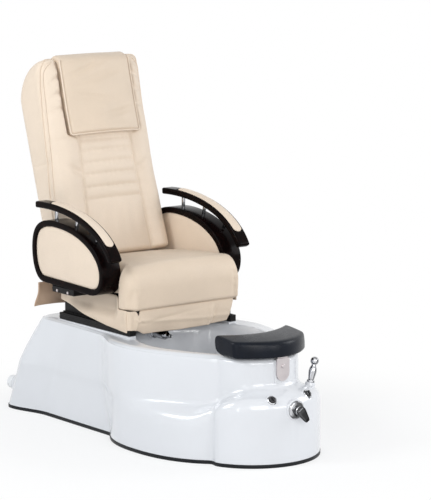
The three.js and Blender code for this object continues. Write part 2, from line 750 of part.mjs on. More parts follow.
function drainStopper() {
  const profile = [
    [0, -STOPPER_STEM_LENGTH],
    [STOPPER_STEM, -STOPPER_STEM_LENGTH],
    [STOPPER_STEM, RUNNING_GAP],
    [STOPPER_RADIUS, RUNNING_GAP],
    [STOPPER_RADIUS, STOPPER_HEIGHT - 4],
    [STOPPER_RADIUS - 5, STOPPER_HEIGHT - 1],
    [0, STOPPER_HEIGHT],
  ];
  return turned(profile, [0, DRAIN_Y, BASIN_FLOOR_Z], UPWARD, 16);
}

function mixerPlate() {
  const profile = [
    [0, -SHANK_LENGTH],
    [SHANK_RADIUS, -SHANK_LENGTH],
    [SHANK_RADIUS, SEAT_GAP],
    [MIXER_RADIUS, SEAT_GAP],
    [MIXER_RADIUS, MIXER_PLATE - 6],
    [MIXER_RADIUS - 4, MIXER_PLATE - 2],
    [MIXER_HUB + 2, MIXER_PLATE],
    [0, MIXER_PLATE],
  ];
  return turned(profile, [0, MIXER_Y, MIXER_Z], FORWARD, 24);
}

function mixerHub() {
  const start = MIXER_PLATE + RUNNING_GAP;
  const profile = [
    [0, start],
    [MIXER_HUB, start],
    [MIXER_HUB, MIXER_HUB_END - 3],
    [MIXER_HUB - 3, MIXER_HUB_END],
    [0, MIXER_HUB_END],
  ];
  return turned(profile, [0, MIXER_Y, MIXER_Z], FORWARD, 24);
}

// The lever's own frame: X across, Y forward from the hub's face, Z down along the blade.
function mixerLever() {
  const section = (z, half, front, back) => [
    [half, back, z],
    [half * 0.6, front, z],
    [-half * 0.6, front, z],
    [-half, back, z],
  ];
  const blade = loft([
    section(-LEVER_ROOT, 9, 5, 0),
    section(-LEVER_ROOT + 4, 14, 9, 0),
    section(6, 15, 11, 0),
    section(LEVER_LENGTH - 12, 8, 17, 10),
    section(LEVER_LENGTH, 5, 19, 14),
  ]);
  const lean = rad(LEVER_LEAN);
  const axes = new THREE.Matrix4().makeBasis(
    new THREE.Vector3(Math.cos(lean), 0, Math.sin(lean)),
    new THREE.Vector3(0, -1, 0),
    new THREE.Vector3(Math.sin(lean), 0, -Math.cos(lean)),
  );
  const geometry = geometryOf(blade).applyMatrix4(axes);
  geometry.translate(0, MIXER_Y - MIXER_HUB_END - RUNNING_GAP, MIXER_Z);
  return solidOf(geometry);
}

function knobBezel(side) {
  const profile = [
    [0, -SHANK_LENGTH],
    [SHANK_RADIUS, -SHANK_LENGTH],
    [SHANK_RADIUS, SEAT_GAP],
    [BEZEL_RADIUS, SEAT_GAP],
    [BEZEL_RADIUS, BEZEL_FLOOR],
    [BEZEL_RADIUS - 3, BEZEL_RIM],
    [KNOB_RADIUS + RUNNING_GAP, BEZEL_RIM],
    [KNOB_RADIUS + RUNNING_GAP, BEZEL_FLOOR],
    [0, BEZEL_FLOOR],
  ];
  return turned(profile, knobPoint(side), knobAxis(side), 12);
}

function controlKnob(side) {
  const profile = [
    [0, BEZEL_FLOOR + RUNNING_GAP],
    [KNOB_RADIUS, BEZEL_FLOOR + RUNNING_GAP],
    [KNOB_RADIUS, KNOB_FACE - 3],
    [KNOB_RADIUS - 2, KNOB_FACE],
    [0, KNOB_FACE],
  ];
  const dial = turned(profile, knobPoint(side), knobAxis(side), 20);
  const ridge = block([-2, -KNOB_RADIUS + 3, KNOB_FACE - 2], [2, KNOB_RADIUS - 3, KNOB_RIDGE]);
  const turn = new THREE.Quaternion().setFromUnitVectors(
    new THREE.Vector3(...UPWARD),
    new THREE.Vector3(...knobAxis(side)).normalize(),
  );
  const placed = geometryOf(ridge).applyQuaternion(turn).translate(...knobPoint(side));
  return dial.add(solidOf(placed));
}

function showerCup() {
  const bore = SHOWER_SPIGOT + RUNNING_GAP;
  const profile = [
    [bore, SEAT_GAP],
    [SHOWER_CUP, SEAT_GAP],
    [SHOWER_CUP, SHOWER_CUP_HEIGHT - 4],
    [SHOWER_CUP - 2, SHOWER_CUP_HEIGHT],
    [bore, SHOWER_CUP_HEIGHT],
    [bore, SEAT_GAP],
  ];
  return turned(profile, SHOWER_POINT, showerAxis(), 12);
}

function handShower() {
  const profile = [
    [0, -SHOWER_SPIGOT_LENGTH],
    [SHOWER_SPIGOT, -SHOWER_SPIGOT_LENGTH],
    [SHOWER_SPIGOT, SHOWER_CUP_HEIGHT + SEAT_GAP],
    [SHOWER_SPIGOT + 3, SHOWER_CUP_HEIGHT + SEAT_GAP],
    [SHOWER_SPIGOT + 5, SHOWER_BALL_AT - 58],
    [SHOWER_GRIP, SHOWER_BALL_AT - 38],
    [SHOWER_GRIP - 2, SHOWER_BALL_AT - 26],
    [SHOWER_GRIP - 7, SHOWER_BALL_AT - 16],
  ];
  for (let i = 2; i <= 8; i += 1) {
    const angle = rad(22.5 * i);
    profile.push([SHOWER_BALL * Math.sin(angle), SHOWER_BALL_AT - SHOWER_BALL * Math.cos(angle)]);
  }
  profile[profile.length - 1][0] = 0;
  return turned(profile, SHOWER_POINT, showerAxis(), 20);
}

// Motor and impeller housing hung under the deck on a plate that follows the deck's tilt.
function circulationPump() {
  const deck = RIM_HEIGHT - 10 - TUB_WALL + RIM_TILT * PUMP_Y - SEAT_GAP;
  const [plateX, plateY] = PUMP_PLATE_HALF;
  const plateAt = block([-plateX, -plateY, -PUMP_PLATE], [plateX, plateY, 0]);
  const tilted = geometryOf(plateAt).rotateX(Math.atan(RIM_TILT)).translate(0, PUMP_Y, deck);
  const axisZ = deck - PUMP_HANG;
  const length = MOTOR_LENGTH + IMPELLER_LENGTH;
  const startX = -length / 2;
  const motor = [
    [0, 0],
    [MOTOR_RADIUS - 6, 0],
    [MOTOR_RADIUS, 6],
    [MOTOR_RADIUS, MOTOR_LENGTH - 6],
    [MOTOR_RADIUS - 10, MOTOR_LENGTH],
    [IMPELLER_RADIUS - 4, MOTOR_LENGTH + 2],
    [IMPELLER_RADIUS, MOTOR_LENGTH + 10],
    [IMPELLER_RADIUS, length - 8],
    [IMPELLER_RADIUS - 6, length],
    [0, length],
  ];
  const outletX = startX + MOTOR_LENGTH + IMPELLER_LENGTH / 2;
  return joined(
    turned(motor, [startX, PUMP_Y, axisZ], [1, 0, 0], 16),
    solidOf(tilted),
    block([-MOTOR_RADIUS, PUMP_Y - 20, axisZ + 30], [MOTOR_RADIUS, PUMP_Y + 20, deck - 3]),
    bar(HOSE_RADIUS, 70, [outletX, PUMP_Y, axisZ + 40], UPWARD, 12),
    bar(HOSE_RADIUS + 2, 30, [-startX - 4, PUMP_Y, axisZ], [1, 0, 0], 12),
  );
}

// ---- seat slide --------------------------------------------------------------------
// A section in (X, Z) pushed along Y.
function beam(corners, fromY, toY) {
  const shape = new THREE.Shape(corners.map(([x, z]) => new THREE.Vector2(x, z)));
  const geometry = new THREE.ExtrudeGeometry(shape, { depth: toY - fromY, bevelEnabled: false });
  const axes = new THREE.Matrix4().makeBasis(
    new THREE.Vector3(1, 0, 0),
    new THREE.Vector3(0, 0, 1),
    new THREE.Vector3(0, -1, 0),
  );
  return solidOf(geometry.applyMatrix4(axes).translate(0, toY, 0));
}

function lowerRail(side) {
  const x = side * RAIL_X;
  const low = PLINTH_TOP_Z + SEAT_GAP;
  const top = low + RAIL_HEIGHT;
  const web = low + RAIL_WALL;
  const inner = RAIL_HALF - RAIL_WALL;
  const corners = [
    [x - RAIL_HALF, low],
    [x + RAIL_HALF, low],
    [x + RAIL_HALF, top],
    [x + inner, top],
    [x + inner, web],
    [x - inner, web],
    [x - inner, top],
    [x - RAIL_HALF, top],
  ];
  return beam(corners, RAIL_FRONT_Y, RAIL_REAR_Y);
}

function upperRail(side) {
  const x = side * RAIL_X;
  const low = PLINTH_TOP_Z + SEAT_GAP + RAIL_WALL + SEAT_GAP;
  const neck = PLINTH_TOP_Z + SEAT_GAP + RAIL_HEIGHT + RUNNING_GAP;
  const inner = RAIL_HALF - RAIL_WALL - RUNNING_GAP;
  const corners = [
    [x - inner, low],
    [x + inner, low],
    [x + inner, neck],
    [x + RAIL_HALF, neck],
    [x + RAIL_HALF, FLANGE_TOP_Z],
    [x - RAIL_HALF, FLANGE_TOP_Z],
    [x - RAIL_HALF, neck],
    [x - inner, neck],
  ];
  return beam(corners, RAIL_FRONT_Y, RAIL_REAR_Y);
}

// ---- seat --------------------------------------------------------------------------
function seatFrame() {
  const low = FLANGE_TOP_Z + SEAT_GAP;
  const flapFace = FLAP_TOP_Y - SEAT_GAP;
  const pieces = [
    block([-SIDE_PLATE_X, STEP_Y, FRAME_TOP_Z - PLATE], [SIDE_PLATE_X, FRAME_REAR_Y, FRAME_TOP_Z]),
    block([-SIDE_PLATE_X, FRAME_FRONT_Y, SHELF_TOP_Z - PLATE], [SIDE_PLATE_X, STEP_Y + PLATE, SHELF_TOP_Z]),
    block([-SIDE_PLATE_X, STEP_Y, SHELF_TOP_Z - PLATE], [SIDE_PLATE_X, STEP_Y + PLATE, FRAME_TOP_Z]),
    block([-SIDE_PLATE_X, flapFace - PLATE, CROSS_LOW_Z], [SIDE_PLATE_X, flapFace, CROSS_TOP_Z]),
  ];
  for (const side of [-1, 1]) {
    const plate = sideSpan(side, SIDE_PLATE_X, SIDE_PLATE_X - PLATE);
    pieces.push(block([plate[0], FRAME_FRONT_Y, low], [plate[1], STEP_Y, SHELF_TOP_Z]));
    pieces.push(block([plate[0], STEP_Y, low], [plate[1], SIDE_REAR_Y, FRAME_TOP_Z]));
    const foot = sideSpan(side, SIDE_PLATE_X - PLATE, SKIRT_OUTER_X - SKIRT_THICK - SEAT_GAP);
    pieces.push(block([foot[0], FRAME_FRONT_Y, low], [foot[1], SIDE_REAR_Y, low + FOOT_THICK]));
    const cheek = sideSpan(side, HINGE_OUTER_X, HINGE_OUTER_X - PLATE);
    const cheekLow = [cheek[0], FRAME_REAR_Y - CHEEK_RADIUS, CROSS_LOW_Z];
    pieces.push(block(cheekLow, [cheek[1], flapFace - 1, FRAME_TOP_Z - 2]));
    pieces.push(bar(CHEEK_RADIUS, PLATE, [cheek[0], PIVOT_Y, PIVOT_Z], [1, 0, 0]));
  }
  const frame = joined(...pieces);
  const hole = bar(PIVOT_RADIUS + SEAT_GAP, 2 * SIDE_PLATE_X, [-SIDE_PLATE_X, PIVOT_Y, PIVOT_Z], [1, 0, 0]);
  return frame.subtract(hole);
}

// Side view of the upholstery: the front roll drops to the shelf, the top falls away to the rear.
function seatProfile(frontY, rearY, bottomZ, rearTopZ) {
  const path = new THREE.Path();
  path.moveTo(frontY + ROLL_HEEL, bottomZ);
  path.lineTo(rearY - 8, bottomZ);
  path.quadraticCurveTo(rearY, bottomZ, rearY, bottomZ + 8);
  path.lineTo(rearY, rearTopZ - 14);
  path.quadraticCurveTo(rearY, rearTopZ, rearY - 16, rearTopZ + 1);
  path.quadraticCurveTo(mix(frontY, rearY, 0.55), SEAT_TOP_Z + 4, frontY + 78, SEAT_TOP_Z);
  const middleZ = mix(bottomZ, SEAT_TOP_Z, 0.5);
  path.bezierCurveTo(frontY + 24, SEAT_TOP_Z - 4, frontY, SEAT_TOP_Z - 34, frontY, middleZ);
  path.bezierCurveTo(frontY, mix(bottomZ, SEAT_TOP_Z, 0.3), frontY + 2, bottomZ, frontY + ROLL_HEEL, bottomZ);
  return path.getPoints(4).slice(0, -1).map((point) => [point.x, point.y]);
}

// Pushes a side view across X with rounded side edges and a crown towards the middle.
function crowned(profileAt, half, edge, middle) {
  const rings = [];
  const ring = (x, shrink) => {
    return shrunk(profileAt(x), shrink).map(([y, z]) => [x, y, z]);
  };
  for (const degrees of [90, 50, 20]) {
    const angle = rad(degrees);
    rings.push(ring(-half + edge - edge * Math.sin(angle), edge * (1 - Math.cos(angle))));
  }
  for (const share of middle) {
    rings.push(ring(share * (half - edge), 0));
  }
  for (const degrees of [20, 50, 90]) {
    const angle = rad(degrees);
    rings.push(ring(half - edge + edge * Math.sin(angle), edge * (1 - Math.cos(angle))));
  }
  return loft(rings);
}

const ACROSS = [-1, -0.4, 0.4, 1];

function seatCushion() {
  const raised = (profile, bottomZ) => (x) => {
    const crown = SEAT_CROWN * (1 - (x / BOLSTER_HALF) ** 2);
    return profile.map(([y, z]) => [y, z + (crown * (z - bottomZ)) / (SEAT_TOP_Z - bottomZ)]);
  };
  const mainBottom = FRAME_TOP_Z + SEAT_GAP;
  const rollBottom = SHELF_TOP_Z + SEAT_GAP;
  const main = seatProfile(BOLSTER_FRONT_Y + 14, CUSHION_REAR_Y, mainBottom, CUSHION_REAR_Z);
  const roll = seatProfile(BOLSTER_FRONT_Y, STEP_Y - SOFT_GAP, rollBottom, SEAT_TOP_Z - 2);
  const body = crowned(raised(main, mainBottom), CUSHION_HALF, CUSHION_EDGE, ACROSS);
  return body.add(crowned(raised(roll, rollBottom), BOLSTER_HALF, CUSHION_EDGE, ACROSS));
}

// Upholstered side panel between the slide and the cushion.
function seatSkirt(side) {
  const shape = new THREE.Shape();
  shape.moveTo(APRON_FRONT_Y, FLANGE_TOP_Z + 3);
  const sagY = mix(STEP_Y, FRAME_REAR_Y, 0.3);
  shape.quadraticCurveTo(sagY, FLANGE_TOP_Z + 1.5, FRAME_REAR_Y - 32, FLANGE_TOP_Z + 28);
  shape.lineTo(FRAME_REAR_Y - 4, FLANGE_TOP_Z + 39);
  shape.lineTo(FRAME_REAR_Y - 4, SKIRT_TOP_Z);
  shape.lineTo(STEP_Y + 1, SKIRT_TOP_Z);
  shape.lineTo(STEP_Y + 1, SHELF_TOP_Z - 2);
  shape.lineTo(APRON_FRONT_Y + 6, SHELF_TOP_Z - 2);
  shape.quadraticCurveTo(APRON_FRONT_Y, SHELF_TOP_Z - 2, APRON_FRONT_Y, SHELF_TOP_Z - 10);
  const outer = side * SKIRT_OUTER_X;
  const inner = side * (SKIRT_OUTER_X - SKIRT_THICK);
  return slab(shape, Math.min(outer, inner), Math.max(outer, inner), 1.5);
}

// The gathered front drop below the seat roll; it narrows downwards to pass between the rails.
function frontApron() {
  const half = SKIRT_OUTER_X - SKIRT_THICK - 2;
  const topZ = SHELF_TOP_Z - 2;
  const middleZ = mix(APRON_BOTTOM_Z, SHELF_TOP_Z, 0.5);
  const narrowed = (x, z) => (x * (half - APRON_TAPER * (topZ - z) / (topZ - APRON_BOTTOM_Z))) / half;
  const rings = [];
  for (let i = 0; i <= APRON_STEPS; i += 1) {
    const x = mix(-half, half, i / APRON_STEPS);
    const front = APRON_FRONT_Y - APRON_GATHER * Math.cos(i * Math.PI * 0.5);
    const back = front + APRON_THICK;
    rings.push([
      [narrowed(x, APRON_BOTTOM_Z), front, APRON_BOTTOM_Z],
      [narrowed(x, APRON_BOTTOM_Z), back, APRON_BOTTOM_Z],
      [narrowed(x, middleZ), back - APRON_BELLY, middleZ],
      [x, back, topZ],
      [x, front, topZ],
      [narrowed(x, middleZ), front - APRON_BELLY, middleZ],
    ]);
  }
  return loft(rings);
}

// A loose leather tail that hides the slide from behind.
function rearFlap() {
  const top = FLAP_TOP_Y;
  const shape = new THREE.Shape();
  shape.moveTo(top, FLAP_TOP_Z);
  shape.lineTo(top, CROSS_LOW_Z);
  shape.quadraticCurveTo(top + 6, FLAP_BOTTOM_Z + 40, top + FLAP_KICK, FLAP_BOTTOM_Z);
  shape.lineTo(top + FLAP_KICK + FLAP_THICK, FLAP_BOTTOM_Z + 1);
  shape.quadraticCurveTo(top + 6 + FLAP_THICK, FLAP_BOTTOM_Z + 40, top + FLAP_THICK, CROSS_LOW_Z);
  shape.lineTo(top + FLAP_THICK, FLAP_TOP_Z);
  return slab(shape, -FLAP_HALF, FLAP_HALF);
}

// ---- arms --------------------------------------------------------------------------
const ARM_CURVE = new THREE.CubicBezierCurve(
  new THREE.Vector2(525, FRAME_TOP_Z + 329),
  new THREE.Vector2(300, FRAME_TOP_Z + 343),
  new THREE.Vector2(78, FRAME_TOP_Z + 286),
  new THREE.Vector2(5, FRAME_TOP_Z + 152),
);

// A point at a share of the arm curve, moved outwards (up and forward) by a distance.
function armPoint(share, distance) {
  const point = ARM_CURVE.getPoint(share);
  const run = ARM_CURVE.getTangent(share);
  return new THREE.Vector2(point.x + run.y * distance, point.y - run.x * distance);
}

function armStrip(from, to, outside, inside, steps) {
  const shares = Array.from({ length: steps + 1 }, (unused, i) => mix(from, to, i / steps));
  const over = shares.map((share) => armPoint(share, outside));
  const under = shares.reverse().map((share) => armPoint(share, inside));
  return new THREE.Shape([...over, ...under]);
}

function ringOutline() {
  const path = new THREE.Path();
  path.moveTo(470, 10);
  path.lineTo(150, 1);
  path.bezierCurveTo(95, 2, 64, 30, 64, 87);
  path.bezierCurveTo(66, 175, 200, 262, 400, 264);
  path.bezierCurveTo(500, 264, 549, 230, 549, 140);
  path.bezierCurveTo(549, 70, 520, 12, 470, 10);
  return path.getPoints(6).slice(0, -1).map((point) => [point.x, point.y + FRAME_TOP_Z]);
}

function ringShape(distance) {
  const outline = ringOutline().reverse();
  return inset(outline, distance).map(([y, z]) => new THREE.Vector2(y, z));
}

const POSTS = [
  { share: 0.175, gap: 40 },
  { share: 0.41, gap: 30 },
  { share: 0.685, gap: 24 },
];

function postAxis(post) {
  const under = armPoint(post.share, -ARM_RAIL_THICK);
  const deep = armPoint(post.share, -ARM_RAIL_THICK - 100);
  return { start: under, direction: [0, (deep.x - under.x) / 100, (deep.y - under.y) / 100] };
}

// A round solid on a post's axis, from a distance above the rail's underside to one below it.
function postBar(side, post, radius, above, below) {
  const { start, direction } = postAxis(post);
  const x = side * (ARM_OUTER_X - ARM_RAIL_WIDTH / 2);
  const origin = along([x, start.x, start.y], direction, -above);
  return bar(radius, above + below, origin, direction, 10);
}

function sideSpan(side, outer, inner) {
  return [side * outer, side * inner].sort((a, b) => a - b);
}

function armRing(side) {
  const shape = new THREE.Shape(ringShape(0));
  shape.holes.push(new THREE.Path(ringShape(RING_BAND)));
  let ring = slab(shape, ...sideSpan(side, ARM_OUTER_X, RING_INNER_X), 3);
  for (const post of POSTS) {
    ring = ring.subtract(postBar(side, post, POST_RADIUS + SEAT_GAP, 0, post.gap + POST_SOCKET));
  }
  return ring;
}

function armInsert(side) {
  const shape = new THREE.Shape(ringShape(RING_BAND + SEAT_GAP));
  return slab(shape, ...sideSpan(side, ARM_OUTER_X - 4, RING_INNER_X + 4), 5);
}

function armRail(side) {
  const innerX = ARM_OUTER_X - ARM_RAIL_WIDTH;
  let rail = slab(armStrip(0, 1, 0, -ARM_RAIL_THICK, 14), ...sideSpan(side, ARM_OUTER_X, innerX), 4);
  const edge = (ARM_RAIL_WIDTH - ARM_PAD_WIDTH) / 2 - SEAT_GAP;
  const pocket = armStrip(PAD_FROM - 0.002, PAD_TO + 0.002, 12, -PAD_SUNK, 10);
  rail = rail.subtract(slab(pocket, ...sideSpan(side, ARM_OUTER_X - edge, innerX + edge)));
  for (const post of POSTS) {
    rail = rail.subtract(postBar(side, post, POST_RADIUS + SEAT_GAP, POST_SOCKET, 4));
  }
  return rail;
}

function armPad(side) {
  const edge = (ARM_RAIL_WIDTH - ARM_PAD_WIDTH) / 2;
  const strip = armStrip(PAD_FROM, PAD_TO, PAD_PROUD, SEAT_GAP - PAD_SUNK, 10);
  return slab(strip, ...sideSpan(side, ARM_OUTER_X - edge, ARM_OUTER_X - ARM_RAIL_WIDTH + edge), 2);
}

function armPost(side, post) {
  return postBar(side, post, POST_RADIUS, POST_SOCKET - SEAT_GAP, post.gap + POST_SOCKET - SEAT_GAP);
}

function ringUnderside(y) {
  return FRAME_TOP_Z + 1 + ((y - 150) * 9) / 320;
}

function armBracket(side) {
  const shape = new THREE.Shape();
  shape.moveTo(BRACKET_FRONT_Y, BRACKET_BOTTOM_Z);
  shape.lineTo(BRACKET_REAR_Y, BRACKET_BOTTOM_Z);
  shape.lineTo(BRACKET_REAR_Y, ringUnderside(BRACKET_FRONT_Y) - SEAT_GAP);
  shape.lineTo(BRACKET_FRONT_Y, ringUnderside(BRACKET_FRONT_Y) - SEAT_GAP);
  const outer = slab(shape, ...sideSpan(side, BRACKET_OUTER_X, RING_INNER_X - 1));
  const tongueLow = sideSpan(side, RING_INNER_X, SIDE_PLATE_X + SEAT_GAP);
  const tongue = block(
    [tongueLow[0], BRACKET_FRONT_Y, BRACKET_BOTTOM_Z],
    [tongueLow[1], BRACKET_REAR_Y, FRAME_TOP_Z - 1],
  );
  return boltPlaces().reduce(
    (rest, place) => rest.subtract(boltBar(side, place, BOLT_RADIUS + SEAT_GAP, -5, BOLT_LENGTH + 4)),
    outer.add(tongue),
  );
}

function boltPlaces() {
  return [mix(BRACKET_FRONT_Y, BRACKET_REAR_Y, 0.25), mix(BRACKET_FRONT_Y, BRACKET_REAR_Y, 0.75)];
}

function boltBar(side, y, radius, from, to) {
  const x = side * (BRACKET_OUTER_X - from);
  return bar(radius, to - from, [x, y, BRACKET_BOTTOM_Z + 9], [-side, 0, 0], 8);
}

function bracketBolt(side, y) {
  const head = boltBar(side, y, BOLT_HEAD_RADIUS, -4 - SEAT_GAP, -SEAT_GAP);
  return head.add(boltBar(side, y, BOLT_RADIUS, -2, BOLT_LENGTH));
}

// ---- backrest, in its own leaning frame: Y runs back from the front face, Z up the back --------
function roundOff(distance, half, radius) {
  const past = Math.abs(distance) - (half - radius);
  return past > 0 ? radius - Math.sqrt(Math.max(radius ** 2 - past ** 2, 0)) : 0;
}

// Height of the rounded top at a depth, measured along the back.
function backTopAt(depth, x) {
  const share = Math.min((depth + BACK_CROWN) / (BACK_DEPTH + BACK_CROWN), 1);
  const rise = (BACK_TOP - BACK_SHOULDER) * Math.pow(1 - Math.pow(share, BACK_TOP_POWER), 1 / BACK_TOP_POWER);
  return BACK_SHOULDER + rise - roundOff(x, BACK_HALF, BACK_TOP_ROUND);
}

function backFrontAt(x) {
  const crown = -BACK_CROWN * (1 - (x / BACK_HALF) ** 2);
  return crown + roundOff(x, BACK_HALF, BACK_FRONT_ROUND);
}

const BACK_STATIONS = [0, 60, 118, 132, 142, 190, 222, 234, 243, BACK_HALF];

function bothSides(stations) {
  return [...stations.slice(1).map((x) => -x).reverse(), ...stations];
}

function backCushion() {
  const rings = bothSides(BACK_STATIONS).map((x) => {
    const front = backFrontAt(x);
    const depth = Math.abs(x) < 135 ? CHANNEL_DEPTH : 0;
    const top = backTopAt(0, x);
    const outline = [
      [front + 8, BACK_BOTTOM],
      [BACK_SPLIT, BACK_BOTTOM],
      [BACK_SPLIT, backTopAt(BACK_SPLIT, x)],
      [mix(front, BACK_SPLIT, 0.6), backTopAt(mix(0, BACK_SPLIT, 0.6), x)],
      [front + 24, top],
      [front + 8, top - 8],
      [front, top - 26],
      [front, top - 150],
    ];
    for (let i = CHANNELS - 1; i >= 0; i -= 1) {
      const s = CHANNEL_FIRST + i * CHANNEL_PITCH;
      outline.push([front, s + 7], [front + depth, s], [front, s - 7]);
    }
    outline.push([front, BACK_BOTTOM + 90], [front, BACK_BOTTOM + 12]);
    return outline.map(([y, z]) => [x, y, z]);
  });
  return loft(rings);
}

function backShell() {
  const rings = bothSides([0, 120, 195, 215, 232, 243, BACK_HALF]).map((x) => {
    const edge = roundOff(x, BACK_HALF, BACK_REAR_ROUND);
    const rear = BACK_DEPTH - edge;
    const outline = [
      [BACK_SPLIT + 1, BACK_BOTTOM],
      [rear - 10, BACK_BOTTOM],
      [rear, BACK_BOTTOM + 12],
      [rear, BACK_SHOULDER],
    ];
    for (let i = 1; i <= 6; i += 1) {
      const y = BACK_DEPTH - (BACK_DEPTH - BACK_SPLIT - 1) * (1 - Math.cos(rad(15 * i)));
      const depth = mix(y, BACK_SPLIT + 1, edge / (BACK_DEPTH - BACK_SPLIT - 1));
      outline.push([depth, Math.max(backTopAt(y, x), BACK_SHOULDER + i)]);
    }
    return outline.map(([y, z]) => [x, y, z]);
  });
  return loft(rings);
}

function pivotLocal() {
  const lean = rad(BACK_LEAN);
  const y = PIVOT_Y - BACK_ORIGIN_Y;
  const z = PIVOT_Z - BACK_ORIGIN_Z;
  return [y * Math.cos(lean) - z * Math.sin(lean), y * Math.sin(lean) + z * Math.cos(lean)];
}

function backHinge(side) {
  const [y, z] = pivotLocal();
  const top = BACK_BOTTOM - SEAT_GAP;
  const shape = new THREE.Shape();
  shape.moveTo(y - 16, z);
  shape.lineTo(y - 34, top);
  shape.lineTo(y + 26, top);
  shape.lineTo(y + 16, z);
  const span = sideSpan(side, HINGE_OUTER_X - PLATE - 1, HINGE_OUTER_X - 2 * PLATE - 1);
  const flange = sideSpan(side, HINGE_OUTER_X - PLATE - 1, HINGE_OUTER_X - PLATE - 34);
  const plate = joined(
    slab(shape, ...span),
    bar(HINGE_EYE_RADIUS, span[1] - span[0], [span[0], y, z], [1, 0, 0]),
    block([flange[0], y - 34, top - PLATE], [flange[1], y + 26, top]),
  );
  return plate.subtract(bar(PIVOT_RADIUS + RUNNING_GAP, 2 * SIDE_PLATE_X, [-SIDE_PLATE_X, y, z], [1, 0, 0]));
}

function hingePin(side) {
  const outer = HINGE_OUTER_X + PIN_HEAD;
  const inner = HINGE_OUTER_X - 2 * PLATE - 8;
  const x = sideSpan(side, outer, inner);
  const head = sideSpan(side, outer, HINGE_OUTER_X + SEAT_GAP);
  const pin = bar(PIVOT_RADIUS, x[1] - x[0], [x[0], PIVOT_Y, PIVOT_Z], [1, 0, 0]);
  return pin.add(bar(PIVOT_RADIUS + PIN_HEAD, head[1] - head[0], [head[0], PIVOT_Y, PIVOT_Z], [1, 0, 0]));
}

// Head pillow: a pad on the front of the back, with its sewn flap carried over the top.
function pillow() {
  const profileAt = (x) => {
    const front = backFrontAt(x) - PILLOW_GAP;
    const top = backTopAt(0, x) + PILLOW_FLAP_GAP;
    const plump = PILLOW_THICK - PILLOW_CROWN * (x / PILLOW_HALF) ** 2;
    return [
      [front - plump + 8, PILLOW_BOTTOM],
      [front - 6, PILLOW_BOTTOM],
      [front, PILLOW_BOTTOM + 8],
      [front, top - 27],
      [front + 7, top - 7],
      [front + 24, top + 2],
      [PILLOW_FLAP_Y, backTopAt(PILLOW_FLAP_Y, x) + PILLOW_FLAP_GAP],
      [PILLOW_FLAP_Y, backTopAt(PILLOW_FLAP_Y, x) + PILLOW_FLAP_THICK],
      [front + 24, top + 20],
      [front, top + 20],
      [front - plump + 8, top + 12],
      [front - plump - 3, top - 12],
      [front - plump, top - 60],
      [front - plump - 3, mix(PILLOW_BOTTOM, top, 0.5)],
      [front - plump, PILLOW_BOTTOM + 12],
    ];
  };
  const ring = (x, shrink) => shrunk(profileAt(x), shrink).map(([y, z]) => [x, y, z]);
  const rings = [
    ring(-PILLOW_HALF, 4),
    ring(-PILLOW_HALF + 3, 1.5),
    ring(-PILLOW_HALF + 10, 0),
    ...[-0.6, -0.2, 0.2, 0.6].map((share) => ring(share * PILLOW_HALF, 0)),
    ring(PILLOW_HALF - 10, 0),
    ring(PILLOW_HALF - 3, 1.5),
    ring(PILLOW_HALF, 4),
  ];
  // The ends fan out from the bend, where both the pad and its flap are in sight.
  const bend = (points) => middlePoint([points[4], points[9], points[9], points[10], points[10]]);
  return loft(rings, bend);
}

// ---- footrest ----------------------------------------------------------------------
function footrestPad() {
  const profileAt = (x) => {
    const front = PAD_FRONT_Y + PAD_BOW * x * x;
    const height = (share) => PAD_BOTTOM_Z + PAD_HEIGHT * share;
    return [
      [front + 5, height(0)],
      [front + PAD_DEPTH - 42, height(0)],
      [front + PAD_DEPTH - 10, height(0.28)],
      [front + PAD_DEPTH, height(0.62)],
      [front + PAD_DEPTH - 4, height(0.82)],
      [front + PAD_DEPTH - 16, height(0.95)],
      [front + PAD_DEPTH - 60, height(1.04)],
      [front + 48, height(1.02)],
      [front + 26, height(0.95)],
      [front + 14, height(0.83)],
      [front + 6, height(0.6)],
      [front, height(0.3)],
      [front, height(0.08)],
    ];
  };
  return crowned(profileAt, PAD_HALF, PAD_EDGE, [-1, -0.75, -0.5, -0.25, 0, 0.25, 0.5, 0.75, 1]);
}

function bladeSlot() {
  const radius = SCREW_RADIUS + RUNNING_GAP;
  const low = FOOT_SCREW_Z - FOOT_TRAVEL;
  return joined(
    block([-radius, PLATE_Y - 20, low], [radius, PLATE_Y + 5, FOOT_SCREW_Z]),
    bar(radius, 25, [0, PLATE_Y - 20, low], BACKWARD, 16),
    bar(radius, 25, [0, PLATE_Y - 20, FOOT_SCREW_Z], BACKWARD, 16),
  );
}

// The tongue that carries the pad and slides between the tub and the cover plate.
function footrestBlade() {
  const back = PLATE_Y - SEAT_GAP;
  const top = PAD_BOTTOM_Z - SEAT_GAP;
  const upright = block([-BLADE_HALF, back - BLADE_THICK, BLADE_BOTTOM_Z], [BLADE_HALF, back, top]);
  const shelf = block([-BLADE_HALF, back - BLADE_THICK, top - BLADE_THICK], [BLADE_HALF, back + 84, top]);
  return upright.add(shelf).subtract(bladeSlot());
}

function footrestPlate() {
  const front = PLATE_Y - SEAT_GAP - BLADE_THICK - SEAT_GAP - PLATE_THICK;
  const back = PLATE_Y - SEAT_GAP;
  const bend = PLATE_BOTTOM_Z + PLATE_HALF;
  const body = joined(
    block([-PLATE_HALF, front, bend], [PLATE_HALF, back, PLATE_TOP_Z]),
    bar(PLATE_HALF, back - front, [0, front, bend], BACKWARD, 16),
  );
  const half = BLADE_HALF + RUNNING_GAP;
  const channel = block([-half, front + PLATE_THICK, BLADE_BOTTOM_Z - 3], [half, back + 1, PLATE_TOP_Z + 1]);
  const hole = bar(SCREW_RADIUS + SEAT_GAP, 30, [0, front - 10, FOOT_SCREW_Z], BACKWARD, 16);
  return body.subtract(channel).subtract(hole);
}

